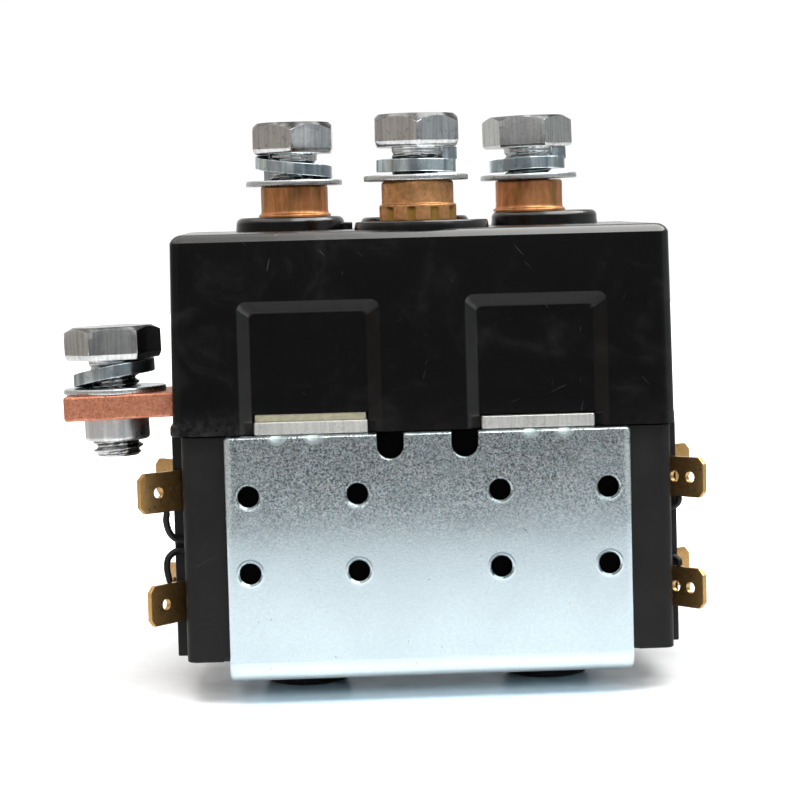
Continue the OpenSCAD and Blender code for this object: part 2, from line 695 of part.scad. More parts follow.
bridge_tips(1);  // right_bridge_tips
fixed_contact_tips();
upper_contact_bar();
contact_bracket(-1);  // left_contact_bracket
contact_bracket(1);  // right_contact_bracket
supply_terminal();
motor_terminal(-1);  // left_motor_terminal
motor_terminal(1);  // right_motor_terminal
side_busbar();
clinch_nut();
terminal_bolt(0);  // side_terminal_bolt
terminal_bolt(1);  // middle_terminal_bolt
terminal_bolt(2);  // left_terminal_bolt
terminal_bolt(3);  // right_terminal_bolt
spring_washers();
flat_washers();
spades(-1, 1, 41, 50.6);  // left_upper_spades
spades(-1, -1, 52.6, 64.7);  // left_lower_spades
spades(1, 1, 50, 38.4, blade_s, blade_l, [1.4, 4.6], [4.6]);  // right_upper_spades
spades(1, -1, 53.5, 41.6, blade_s, blade_l, [1.4, 4.6], [4.6]);  // right_lower_spades
coil_leads(-1);  // left_coil_leads
coil_leads(1);  // right_coil_leads
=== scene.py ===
import math

import bmesh
import bpy
import numpy as np
from mathutils import Matrix, Vector
from mathutils.geometry import delaunay_2d_cdt


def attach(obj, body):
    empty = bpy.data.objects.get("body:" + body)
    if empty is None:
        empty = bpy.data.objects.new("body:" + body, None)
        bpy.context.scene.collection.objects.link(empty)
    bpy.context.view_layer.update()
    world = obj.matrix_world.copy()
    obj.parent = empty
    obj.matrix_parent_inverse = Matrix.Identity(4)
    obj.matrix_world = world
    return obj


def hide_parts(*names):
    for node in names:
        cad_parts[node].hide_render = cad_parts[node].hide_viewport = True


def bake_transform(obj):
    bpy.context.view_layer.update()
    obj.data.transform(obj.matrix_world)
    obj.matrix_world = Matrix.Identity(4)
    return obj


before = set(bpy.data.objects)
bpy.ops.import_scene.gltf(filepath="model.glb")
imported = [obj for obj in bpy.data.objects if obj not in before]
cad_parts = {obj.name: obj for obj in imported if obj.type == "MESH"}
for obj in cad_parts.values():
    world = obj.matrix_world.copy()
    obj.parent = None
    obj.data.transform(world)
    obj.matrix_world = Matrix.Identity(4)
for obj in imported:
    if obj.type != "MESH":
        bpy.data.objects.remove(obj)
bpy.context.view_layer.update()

TAU = 2 * math.pi

# ---------------------------------------------------------------------------
# sizes in mm, as in the part's source
# ---------------------------------------------------------------------------
PLATE_W, SHEET = 62.6, 2.0
PLATE_TOP, PLATE_BOT, LEG_LEN = 15.3, -23.0, 46.0
YOKE_TOP = PLATE_TOP + SHEET
GASKET_TOP = YOKE_TOP + 1.1
BAR_T, BAR_W = 3.8, 16.0
BAR_TOP = GASKET_TOP + BAR_T
FRONT_Y, BACK_Y, HOUSING_TOP = 0.3, 48.3, 46.95
POLES, POLE_Y = (-19.25, 19.75), 24.0
FRONT_TY, REAR_TY = 12.0, 36.0
TERM_TOP = 53.85
SHIFT = -0.35
BAR_X0, BEND_X, DROOP, BOLT_X = -55.9, -38.0, -1.4, -48.3
WASHER_T, LOCK_H = 0.9, 4.35
CASE_BOT = -19.8
FOOT_BOT = -26.6
COVER_X = 33.7

# ---------------------------------------------------------------------------
# meshes
# ---------------------------------------------------------------------------


def raw(name, verts, faces):
    """A plain object from points in mm, with its doubles merged and its faces turned outwards."""
    me = bpy.data.meshes.new(name)
    me.from_pydata((np.asarray(verts, float) * 0.001).tolist(), [], [list(map(int, f)) for f in faces])
    bm = bmesh.new()
    bm.from_mesh(me)
    bmesh.ops.remove_doubles(bm, verts=bm.verts, dist=4e-7)
    bmesh.ops.dissolve_degenerate(bm, edges=bm.edges, dist=1e-7)
    bmesh.ops.recalc_face_normals(bm, faces=bm.faces)
    bm.to_mesh(me)
    bm.free()
    me.update()
    ob = bpy.data.objects.new(name, me)
    bpy.context.scene.collection.objects.link(ob)
    return ob


def settle(ob):
    """Applies an object's modifiers to its mesh."""
    dg = bpy.context.evaluated_depsgraph_get()
    me = bpy.data.meshes.new_from_object(ob.evaluated_get(dg))
    old = ob.data
    ob.modifiers.clear()
    ob.data = me
    me.name = ob.name
    bpy.data.meshes.remove(old)
    return ob


def boolean(ob, others, operation, solver="EXACT"):
    for o in others:
        m = ob.modifiers.new("b", "BOOLEAN")
        m.object = o
        m.operation = operation
        m.solver = solver
    settle(ob)
    for o in others:
        bpy.data.objects.remove(o)
    bm = bmesh.new()
    bm.from_mesh(ob.data)
    bmesh.ops.remove_doubles(bm, verts=bm.verts, dist=6e-7)
    bmesh.ops.dissolve_degenerate(bm, edges=bm.edges, dist=1e-7)
    bm.to_mesh(ob.data)
    bm.free()
    return ob


def bevel(ob, width, angle=30, segments=3):
    m = ob.modifiers.new("bevel", "BEVEL")
    m.width = width * 0.001
    m.segments = segments
    m.limit_method = "ANGLE"
    m.angle_limit = math.radians(angle)
    m.use_clamp_overlap = True
    return settle(ob)


def piece(ob, mat, slot, *nodes, body="frame", sharp=42):
    """Shades a mesh, gives it its material, hangs it under its body and hides the CAD nodes it stands in for."""
    me = ob.data
    me.materials.clear()
    me.materials.append(mat)
    for p in me.polygons:
        p.use_smooth = True
        p.material_index = 0
    me.set_sharp_from_angle(angle=math.radians(sharp))
    wn = ob.modifiers.new("normals", "WEIGHTED_NORMAL")
    wn.keep_sharp = True
    wn.weight = 60
    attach(ob, body)
    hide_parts(*nodes)
    return ob


def join(name, obs):
    """One object from several."""
    bm = bmesh.new()
    for o in obs:
        bm.from_mesh(o.data)
    me = bpy.data.meshes.new(name)
    bm.to_mesh(me)
    bm.free()
    for o in obs:
        bpy.data.objects.remove(o)
    ob = bpy.data.objects.new(name, me)
    bpy.context.scene.collection.objects.link(ob)
    return ob


def move(ob, matrix):
    ob.data.transform(matrix)
    return ob


def rounded(points, r, seg=6):
    """A closed outline with its corners rounded; r is one radius or one for each corner."""
    n, out = len(points), []
    for i in range(n):
        p0, p, p1 = (np.array(points[j % n], float) for j in (i - 1, i, i + 1))
        ri = r[i] if hasattr(r, "__len__") else r
        if ri <= 0:
            out.append(tuple(p))
            continue
        a, b = (p0 - p) / np.linalg.norm(p0 - p), (p1 - p) / np.linalg.norm(p1 - p)
        half = math.acos(max(-1, min(1, float(a @ b)))) / 2
        c = p + (a + b) / np.linalg.norm(a + b) * ri / math.sin(half)
        s, e = p + a * ri / math.tan(half) - c, p + b * ri / math.tan(half) - c
        a0 = math.atan2(s[1], s[0])
        d = (math.atan2(e[1], e[0]) - a0 + math.pi) % TAU - math.pi
        for k in range(seg + 1):
            t = a0 + d * k / seg
            out.append((c[0] + ri * math.cos(t), c[1] + ri * math.sin(t)))
    return out


def circle(cx, cy, r, n=48, cw=True, a0=0.0):
    s = -1 if cw else 1
    return [(cx + r * math.cos(a0 + s * TAU * k / n), cy + r * math.sin(a0 + s * TAU * k / n)) for k in range(n)]


def inset(loop, d):
    """The loop moved to its left by d, into the material."""
    p = np.array(loop, float)
    if d == 0:
        return p
    a, b = p - np.roll(p, 1, 0), np.roll(p, -1, 0) - p
    a /= np.linalg.norm(a, axis=1)[:, None] + 1e-12
    b /= np.linalg.norm(b, axis=1)[:, None] + 1e-12
    na, nb = np.stack([-a[:, 1], a[:, 0]], 1), np.stack([-b[:, 1], b[:, 0]], 1)
    m = (na + nb) / (1 + (na * nb).sum(1))[:, None].clip(0.2)
    return p + m * d


def inside(points, loops):
    """Whether each point lies in the material between the loops."""
    x, y = points[:, 0], points[:, 1]
    odd = np.zeros(len(points), bool)
    for loop in loops:
        p = np.asarray(loop, float)
        q = np.roll(p, -1, 0)
        for (x0, y0), (x1, y1) in zip(p, q):
            if y0 == y1:
                continue
            hit = (y0 > y) != (y1 > y)
            odd ^= hit & (x < (x1 - x0) * (y - y0) / (y1 - y0) + x0)
    return odd


def fill(loops, lines=(), dots=()):
    """Triangles between loops, with extra lines and points kept as edges and vertices."""
    pts, edges = [], []
    for loop in loops:
        b = len(pts)
        pts += [tuple(p) for p in loop]
        edges += [(b + i, b + (i + 1) % len(loop)) for i in range(len(loop))]
    for a, b in lines:
        edges.append((len(pts), len(pts) + 1))
        pts += [tuple(a), tuple(b)]
    pts += [tuple(p) for p in dots]
    v, _, f, _, _, _ = delaunay_2d_cdt([Vector(p) for p in pts], edges, [], 0, 1e-6)
    v = np.array([tuple(p) for p in v])
    f = [t for t in f if len(t) >= 3]
    mid = np.array([v[list(t)].mean(0) for t in f])
    keep = inside(mid, loops)
    return v, [t for t, k in zip(f, keep) if k]


def slab(loops, w0, w1, lines=(), dots=()):
    """A plate between w0 and w1 with eased edges: loops are dicts of pts, b0 and b1 (the easing at each face),
    seg (0 for a flat chamfer) and wall (a function of the share of the height that gives the points of a wall row).
    Gives points (x, y, w) and faces."""
    verts, faces, low, high = [], [], [], []
    for lp in loops:
        p = np.array(lp["pts"], float)
        b0, b1, seg = lp.get("b0", 0.15), lp.get("b1", 0.15), lp.get("seg", 3)
        rows = []
        steps = max(seg, 1)
        if b0 > 0:
            for k in range(steps + 1):
                a = math.pi / 2 * k / steps
                f, g = (1 - math.sin(a), 1 - math.cos(a)) if seg else (1 - k, k)
                rows.append((inset(p, b0 * f), w0 + b0 * g))
        else:
            rows.append((p, w0))
        if "wall" in lp:
            n = lp.get("rows", 10)
            for k in range(1, n):
                s = k / n
                w = (w0 + b0) * (1 - s) + (w1 - b1) * s
                rows.append((lp["wall"](p, w, s), w))
        if b1 > 0:
            for k in range(steps + 1):
                a = math.pi / 2 * k / steps
                f, g = (1 - math.cos(a), 1 - math.sin(a)) if seg else (k, 1 - k)
                rows.append((inset(p, b1 * f), w1 - b1 * g))
        else:
            rows.append((p, w1))
        n, base = len(p), len(verts)
        for q, w in rows:
            verts += [(x, y, w) for x, y in q]
        for r in range(len(rows) - 1):
            for i in range(n):
                a, b = base + r * n + i, base + r * n + (i + 1) % n
                faces.append((a, b, b + n, a + n))
        low.append(rows[0][0])
        high.append(rows[-1][0])
    for rings, w in ((low, w0), (high, w1)):
        v, f = fill(rings, lines, dots)
        base = len(verts)
        verts += [(x, y, w) for x, y in v]
        faces += [tuple(base + i for i in t) for t in f]
    return np.array(verts), faces


def rows_mesh(rows, close=True):
    """Faces between rows of points, each row closed on itself; a row of one point is a tip."""
    verts, faces, at = [], [], []
    for r in rows:
        at.append((len(verts), len(r)))
        verts += [tuple(p) for p in r]
    pairs = list(zip(at[:-1], at[1:]))
    if not close:
        pass
    for (a, n), (b, m) in pairs:
        k = max(n, m)
        for i in range(k):
            j = (i + 1) % k
            if n == 1:
                faces.append((a, b + i, b + j))
            elif m == 1:
                faces.append((a + i, a + j, b))
            else:
                faces.append((a + i, a + j, b + j, b + i))
    return verts, faces


def revolve(name, profile, n=96, ring=False, radius=None):
    """Turned piece: profile points (r, z). ring closes the profile on itself, as round a bore."""
    th = TAU * np.arange(n) / n
    c, s = np.cos(th), np.sin(th)
    rows = []
    for r, z in list(profile) + ([profile[0]] if ring else []):
        if r <= 0:
            rows.append([(0, 0, z)])
        else:
            rr = np.full(n, float(r)) if radius is None else radius(r, z, th)
            rows.append(np.stack([rr * c, rr * s, np.full(n, float(z))], 1))
    v, f = rows_mesh(rows)
    return raw(name, v, f)


def arc2(cx, cy, r, a0, a1, n=4):
    """Points of an arc in a profile, angles in degrees."""
    return [(cx + r * math.cos(math.radians(a0 + (a1 - a0) * k / n)), cy + r * math.sin(math.radians(a0 + (a1 - a0) * k / n)))
            for k in range(n + 1)]


def spline(p, n):
    """Smooth curve through points."""
    p = np.array(p, float)
    q = np.vstack([2 * p[0] - p[1], p, 2 * p[-1] - p[-2]])
    out = []
    for i in range(len(p) - 1):
        a, b, c, d = q[i:i + 4]
        for t in np.arange(n) / n:
            out.append(0.5 * (2 * b + (c - a) * t + (2 * a - 5 * b + 4 * c - d) * t * t + (3 * b - a - 3 * c + d) * t ** 3))
    out.append(p[-1])
    return np.array(out)


def tube(name, path, r, n=16, ends=True):
    """A round tube along a path with domed ends; r is one radius or one for each point."""
    path = np.asarray(path, float)
    rad = np.full(len(path), float(r)) if np.isscalar(r) else np.asarray(r, float)
    t = np.gradient(path, axis=0)
    t /= np.linalg.norm(t, axis=1)[:, None]
    u = np.cross(t[0], [0, 0, 1.0]) if abs(t[0][2]) < 0.9 else np.cross(t[0], [0, 1.0, 0])
    u /= np.linalg.norm(u)
    rows, th = [], TAU * np.arange(n) / n

    def row(c, u, v, rr):
        return c + rr * (np.cos(th)[:, None] * u + np.sin(th)[:, None] * v)

    frames = []
    for i in range(len(path)):
        u = u - t[i] * (u @ t[i])
        u /= np.linalg.norm(u)
        frames.append((u.copy(), np.cross(t[i], u)))
    if ends:
        rows.append([path[0] - t[0] * rad[0] * 0.6])
        for k in (1, 2, 3):
            a = math.pi / 2 * k / 4
            rows.append(row(path[0] - t[0] * rad[0] * 0.6 * math.cos(a), *frames[0], rad[0] * math.sin(a)))
    for i in range(len(path)):
        rows.append(row(path[i], *frames[i], rad[i]))
    if ends:
        for k in (3, 2, 1):
            a = math.pi / 2 * k / 4
            rows.append(row(path[-1] + t[-1] * rad[-1] * 0.6 * math.cos(a), *frames[-1], rad[-1] * math.sin(a)))
        rows.append([path[-1] + t[-1] * rad[-1] * 0.6])
    v, f = rows_mesh(rows)
    return raw(name, v, f)


def droop(verts):
    """Turns what lies left of the busbar's bend down by its slight droop."""
    v = np.array(verts, float)
    a = math.radians(DROOP)
    dx, dz = v[:, 0] - BEND_X, v[:, 2] - BAR_TOP
    turn = a * np.clip(-dx / 1.2 + 0.5, 0, 1)
    x = BEND_X + dx * np.cos(turn) + dz * np.sin(turn)
    z = BAR_TOP - dx * np.sin(turn) + dz * np.cos(turn)
    return np.stack([x, v[:, 1], z], 1)


def at_terminal(i):
    """Where a terminal's screw stands, as a matrix in mm."""
    if i == 0:
        return (Matrix.Translation((BEND_X, 0, BAR_TOP)) @ Matrix.Rotation(math.radians(DROOP), 4, "Y")
                @ Matrix.Translation((-BEND_X + BOLT_X, FRONT_TY, 0)))
    if i == 1:
        return Matrix.Translation((0, FRONT_TY, TERM_TOP))
    if i == 2:
        return Matrix.Translation((POLES[0], REAR_TY, TERM_TOP))
    return Matrix.Translation((POLES[1], REAR_TY, TERM_TOP + 0.13)) @ Matrix.Rotation(math.radians(-1), 4, "Y")


def mm(matrix):
    """The same move for a mesh in metres."""
    m = matrix.copy()
    m.translation = matrix.translation * 0.001
    return m


# ---------------------------------------------------------------------------
# materials
# ---------------------------------------------------------------------------


class Mat:
    """A small helper for node materials. Texture sizes are per mm."""

    def __init__(self, name, base, metallic=0.0, roughness=0.5, **sockets):
        self.m = bpy.data.materials.new(name)
        self.m.use_nodes = True
        self.t = self.m.node_tree
        self.t.nodes.clear()
        out = self.t.nodes.new("ShaderNodeOutputMaterial")
        self.b = self.t.nodes.new("ShaderNodeBsdfPrincipled")
        self.t.links.new(self.b.outputs[0], out.inputs[0])
        self.b.inputs["Base Color"].default_value = (*base, 1)
        self.b.inputs["Metallic"].default_value = metallic
        self.b.inputs["Roughness"].default_value = roughness
        for k, v in sockets.items():
            self.b.inputs[k].default_value = v
        self.obj = self.t.nodes.new("ShaderNodeTexCoord").outputs["Object"]

    def put(self, sock, v):
        if isinstance(v, bpy.types.NodeSocket):
            self.t.links.new(v, sock)
        elif isinstance(v, (tuple, list)) and len(v) == 3 and sock.type == "RGBA":
            sock.default_value = (*v, 1)
        else:
            sock.default_value = v

    def coords(self, scale=(1, 1, 1), rot=(0, 0, 0), loc=(0, 0, 0)):
        """Object coordinates in mm, stretched and turned."""
        a = self.t.nodes.new("ShaderNodeMapping")
        a.inputs["Rotation"].default_value = [math.radians(x) for x in rot]
        a.inputs["Scale"].default_value = (1000, 1000, 1000)
        a.inputs["Location"].default_value = loc
        self.t.links.new(self.obj, a.inputs["Vector"])
        if tuple(scale) == (1, 1, 1):
            return a.outputs[0]
        b = self.t.nodes.new("ShaderNodeMapping")
        b.inputs["Scale"].default_value = scale
        self.t.links.new(a.outputs[0], b.inputs["Vector"])
        return b.outputs[0]

    def noise(self, scale, detail=3.0, rough=0.55, vec=None, distort=0.0):
        n = self.t.nodes.new("ShaderNodeTexNoise")
        self.t.links.new(vec or self.coords(), n.inputs["Vector"])
        n.inputs["Scale"].default_value = scale
        n.inputs["Detail"].default_value = detail
        n.inputs["Roughness"].default_value = rough
        n.inputs["Distortion"].default_value = distort
        return n.outputs["Fac"]

    def voronoi(self, scale, vec=None, feature="F1", rand=1.0, out="Distance"):
        n = self.t.nodes.new("ShaderNodeTexVoronoi")
        n.feature = feature
        self.t.links.new(vec or self.coords(), n.inputs["Vector"])
        n.inputs["Scale"].default_value = scale
        n.inputs["Randomness"].default_value = rand
        return n.outputs[out]

    def ramp(self, fac, lo, hi, a=0.0, b=1.0, smooth=True):
        n = self.t.nodes.new("ShaderNodeMapRange")
        n.interpolation_type = "SMOOTHSTEP" if smooth else "LINEAR"
        self.t.links.new(fac, n.inputs["Value"])
        n.inputs["From Min"].default_value = lo
        n.inputs["From Max"].default_value = hi
        n.inputs["To Min"].default_value = a
        n.inputs["To Max"].default_value = b
        return n.outputs["Result"]

    def math(self, op, a, b=0.0, clamp=False):
        n = self.t.nodes.new("ShaderNodeMath")
        n.operation = op
        n.use_clamp = clamp
        self.put(n.inputs[0], a)
        self.put(n.inputs[1], b)
        return n.outputs[0]

    def mix(self, fac, a, b, blend="MIX"):
        n = self.t.nodes.new("ShaderNodeMix")
        n.data_type = "RGBA"
        n.blend_type = blend
        self.put(n.inputs[0], fac)
        self.put(n.inputs[6], a)
        self.put(n.inputs[7], b)
        return n.outputs[2]

    def axis(self, which, lo, hi, vec=None):
        """0 to 1 along an axis of the object's own coordinates, in mm."""
        s = self.t.nodes.new("ShaderNodeSeparateXYZ")
        self.t.links.new(vec or self.coords(), s.inputs[0])
        return self.ramp(s.outputs["XYZ".index(which)], lo, hi)

    def facing(self, which):
        """The surface normal's part along an axis."""
        g = self.t.nodes.new("ShaderNodeNewGeometry")
        s = self.t.nodes.new("ShaderNodeSeparateXYZ")
        self.t.links.new(g.outputs["Normal"], s.inputs[0])
        return s.outputs["XYZ".index(which)]

    def edges(self, lo=0.5, hi=0.6):
        """Convex edges, from the mesh's pointiness."""
        g = self.t.nodes.new("ShaderNodeNewGeometry")
        return self.ramp(g.outputs["Pointiness"], lo, hi)

    def bump(self, height, mm_, strength=1.0, normal=None):
        n = self.t.nodes.new("ShaderNodeBump")
        n.inputs["Strength"].default_value = strength
        n.inputs["Distance"].default_value = mm_ * 0.001
        self.t.links.new(height, n.inputs["Height"])
        if normal is not None:
            self.t.links.new(normal, n.inputs["Normal"])
        return n.outputs["Normal"]

    def scratches(self, density=0.5, length=6.0, width=0.05, turns=((0, 25, 0), (0, 78, 0), (0, 131, 0)), cut=0.77, width_cut=0.03):
        """Thin short scratches in a few directions, 0 to 1."""
        out = None
        for k, rot in enumerate(turns):
            v = self.coords(scale=(1.0 / length, 1.0 / length, 0.12 / width), rot=rot, loc=(3.1 * k, 1.7 * k, 5.3 * k))
            n = self.noise(density * 2, 1.0, 0.5, vec=v)
            s = self.ramp(n, cut, cut + width_cut)
            out = s if out is None else self.math("MAXIMUM", out, s)
        return out

    def set(self, **kw):
        for k, v in kw.items():
            self.put(self.b.inputs[k.replace("_", " ")], v)
        return self.m


def zinc(name, light=(0.80, 0.84, 0.86), dark=(0.52, 0.55, 0.57), rough=(0.26, 0.42), grain=2.6, depth=0.012, streak=None, metallic=1.0,
         pit=0.35, tops=1.0, bands=0.35):
    m = Mat(name, light, metallic, rough[0])
    fine = m.noise(grain, 4.0, 0.7)
    patch = m.noise(0.09, 3.0, 0.5)
    pits = m.ramp(m.noise(grain * 0.55, 2.0, 0.5, distort=0.4), 0.62, 0.70)
    col = m.mix(m.ramp(fine, 0.3, 0.7), light, tuple(0.86 * c for c in light))
    col = m.mix(m.math("MULTIPLY", pits, pit), col, dark)
    h = m.math("ADD", fine, m.math("MULTIPLY", m.noise(grain * 0.35, 2.0, 0.5), 0.8))
    if streak:
        s = m.noise(streak[1], 2.0, 0.6, vec=m.coords(scale=streak[0]))
        h = m.math("ADD", h, m.math("MULTIPLY", s, 0.9))
        col = m.mix(m.ramp(s, 0.35, 0.75 if bands < 0.5 else 0.62, 0.0, bands), col, dark)
    r = m.ramp(m.math("ADD", m.math("MULTIPLY", fine, 0.6), m.math("MULTIPLY", patch, 0.4)), 0.35, 0.65, rough[0], rough[1])
    if tops < 1.0:
        # painted shade: upward-facing chamfers and tops take a darker mottled tone, near black where they turn to +X, a
        # little lighter on the flat top
        painted_top_shade = m.mix(m.ramp(m.noise(0.55, 3.0, 0.6), 0.40, 0.62), tuple(1.35 * tops * c for c in light), tuple(0.5 * tops * c for c in light))
        painted_top_shade = m.mix(m.ramp(m.facing("X"), -0.22, 0.02, 0.0, 0.66), painted_top_shade, (0.02, 0.02, 0.02))
        painted_top_shade = m.mix(m.ramp(m.facing("Z"), 0.90, 0.97), painted_top_shade, m.mix(m.ramp(patch, 0.35, 0.65), tuple(0.74 * c for c in light), tuple(0.62 * c for c in light)))
        col = m.mix(m.ramp(m.facing("Z"), 0.25, 0.5), col, painted_top_shade)
    return m.set(Base_Color=col, Roughness=r, Normal=m.bump(h, depth))


def zinc_sheet(name, light, dark, rough=(0.11, 0.19), depth=0.009):
    """Bright zinc on rolled sheet: small flakes that catch the light one by one, rolled-over edges, soft burrs round
    the holes. Painted reflections, painted highlights and painted shade, strongest towards the top.
    """
    m = Mat(name, light, 1.0, rough[0])
    sep = m.t.nodes.new("ShaderNodeSeparateXYZ")
    m.t.links.new(m.coords(), sep.inputs[0])
    x, z = sep.outputs[0], sep.outputs[2]
    ax = m.math("ABSOLUTE", x)
    up = m.ramp(z, -7.0, 10.0)
    flake = m.noise(3.0, 3.0, 0.66, distort=1.1)
    fibre = m.noise(2.9, 2.0, 0.6, distort=2.4)
    contour = m.ramp(m.math("ABSOLUTE", m.math("SUBTRACT", m.noise(1.15, 2.0, 0.55, distort=1.6), 0.5)), 0.0, 0.040, 1.0, 0.0)
    contour = m.math("MULTIPLY", contour, m.ramp(m.noise(0.9, 2.0, 0.5), 0.42, 0.60))
    cloudy = m.ramp(m.noise(0.30, 3.0, 0.6, distort=0.6), 0.38, 0.62)
    patch = m.noise(0.07, 3.0, 0.55)
    bright = m.ramp(fibre, 0.55, 0.68)
    pits = m.ramp(m.noise(1.1, 2.0, 0.55, distort=0.5), 0.715, 0.755)
    thin = m.ramp(m.noise(2.0, 2.0, 0.6, vec=m.coords(scale=(0.28, 1.0, 1.8), rot=(0, 12, 0))), 0.70, 0.77)
    # painted reflections, strongest towards the top: dark flakes over the zinc's real spangle and dark clouds stand for
    # a dark room mirrored in it; white wrinkle lines and bright fibres are painted highlights
    col = m.mix(m.math("MULTIPLY", m.ramp(flake, 0.42, 0.58), m.ramp(up, 0, 1, 0.08, 1.0)), light, tuple(0.13 * c for c in light))
    col = m.mix(m.math("MULTIPLY", m.math("MULTIPLY", cloudy, up), 0.32), col, tuple(0.35 * c for c in light))
    col = m.mix(m.math("MULTIPLY", contour, m.ramp(up, 0, 1, 0.04, 1.0)), col, (1.0, 1.0, 1.0))
    col = m.mix(m.ramp(patch, 0.42, 0.62, 0.0, 0.22), col, tuple(0.86 * c for c in light))
    col = m.mix(m.math("MULTIPLY", bright, m.ramp(up, 0, 1, 0.10, 0.75)), col, tuple(min(1.0, 1.22 * c) for c in light))
    col = m.mix(m.math("MULTIPLY", thin, 0.25), col, dark)
    col = m.mix(m.math("MULTIPLY", pits, 0.70), col, dark)
    # painted shade: darker and warmer towards the top of the plate
    col = m.mix(m.ramp(z, -3.0, 12.0, 0.0, 0.16), col, (0.10, 0.04, 0.02))
    # soft pressed marks over the yoke's tabs
    near = None
    for c in MARKS:
        dx = m.math("DIVIDE", m.math("SUBTRACT", x, c), 1.75)
        dz = m.math("DIVIDE", m.math("SUBTRACT", z, PLATE_TOP - 0.25), 1.45)
        d = m.math("ADD", m.math("MULTIPLY", dx, dx), m.math("MULTIPLY", dz, dz))
        near = d if near is None else m.math("MINIMUM", near, d)
    press = m.ramp(near, 0.10, 1.7, 1.0, 0.0)
    col = m.mix(m.math("MULTIPLY", m.math("MULTIPLY", press, press), 0.85), col, (0.46, 0.54, 0.545))
    # the sheared edge is dull where it rolls over at the sides
    band = m.math("MULTIPLY", m.ramp(ax, PLATE_W / 2 - 1.45, PLATE_W / 2 - 0.50), m.ramp(z, -2.0, 7.0, 0.0, 1.0))
    band = m.math("MULTIPLY", band, m.ramp(m.noise(1.6, 3.0, 0.6), 0.30, 0.62, 0.45, 1.0))
    col = m.mix(m.math("MULTIPLY", band, 0.62), col, (0.58, 0.64, 0.64))
    # painted shade along the top: faces turned upwards, on the top edge and in the marks, are darkened, more so towards
    # the right
    col = m.mix(m.math("MULTIPLY", m.ramp(m.facing("Z"), 0.20, 0.50), m.ramp(x, -6.0, 2.0, 0.62, 0.88)), col, (0.10, 0.13, 0.13))
    # heights: flakes, roll-over at the edges, burr round the holes, the bending tool's line
    h = m.math("ADD", flake, m.math("MULTIPLY", m.noise(3.4, 2.0, 0.6), 0.30))
    h = m.math("ADD", h, m.math("MULTIPLY", m.math("MULTIPLY", fibre, up), 2.4))
    h = m.math("SUBTRACT", h, m.math("MULTIPLY", pits, 0.6))
    n1 = m.bump(h, depth)
    hx = m.math("MINIMUM", m.math("ABSOLUTE", m.math("SUBTRACT", ax, 11.0)), m.math("ABSOLUTE", m.math("SUBTRACT", ax, 27.75)))
    hz = m.math("ABSOLUTE", m.math("SUBTRACT", m.math("ABSOLUTE", z), 5.95))
    hole = m.math("SQRT", m.math("ADD", m.math("MULTIPLY", hx, hx), m.math("MULTIPLY", hz, hz)))
    burr = m.ramp(hole, 1.70, 2.30, 0.052, 0.0)
    roll = m.math("ADD", m.ramp(ax, PLATE_W / 2 - 1.05, PLATE_W / 2 - 0.1, 0.0, 0.16), m.ramp(z, PLATE_TOP - 0.62, PLATE_TOP - 0.05, 0.0, 0.20))
    line = m.ramp(m.math("ABSOLUTE", m.math("SUBTRACT", z, PLATE_BOT + R_OUT - 0.1)), 0.0, 0.22, 0.012, 0.0)
    big = m.math("SUBTRACT", m.math("SUBTRACT", burr, roll), line)
    r = m.ramp(m.math("ADD", m.math("MULTIPLY", flake, 0.55), m.math("MULTIPLY", patch, 0.45)), 0.35, 0.65, rough[0], rough[1])
    r = m.math("ADD", r, m.math("ADD", m.math("MULTIPLY", m.math("MULTIPLY", press, press), 0.38), m.math("MULTIPLY", band, 0.28)))
    return m.set(Base_Color=col, Roughness=r, Normal=m.bump(big, 1.0, normal=n1))


def steel(name, light, rough, depth=0.006, grain=3.0, streak=((1, 1, 1), 1.0)):
    m = Mat(name, light, 1.0, rough)
    s = m.noise(grain, 3.0, 0.6, vec=m.coords(scale=streak[0]))
    col = m.mix(m.ramp(s, 0.35, 0.7), light, tuple(0.75 * c for c in light))
    return m.set(Base_Color=col, Roughness=m.ramp(s, 0.3, 0.7, rough * 0.8, rough * 1.3), Normal=m.bump(s, depth))


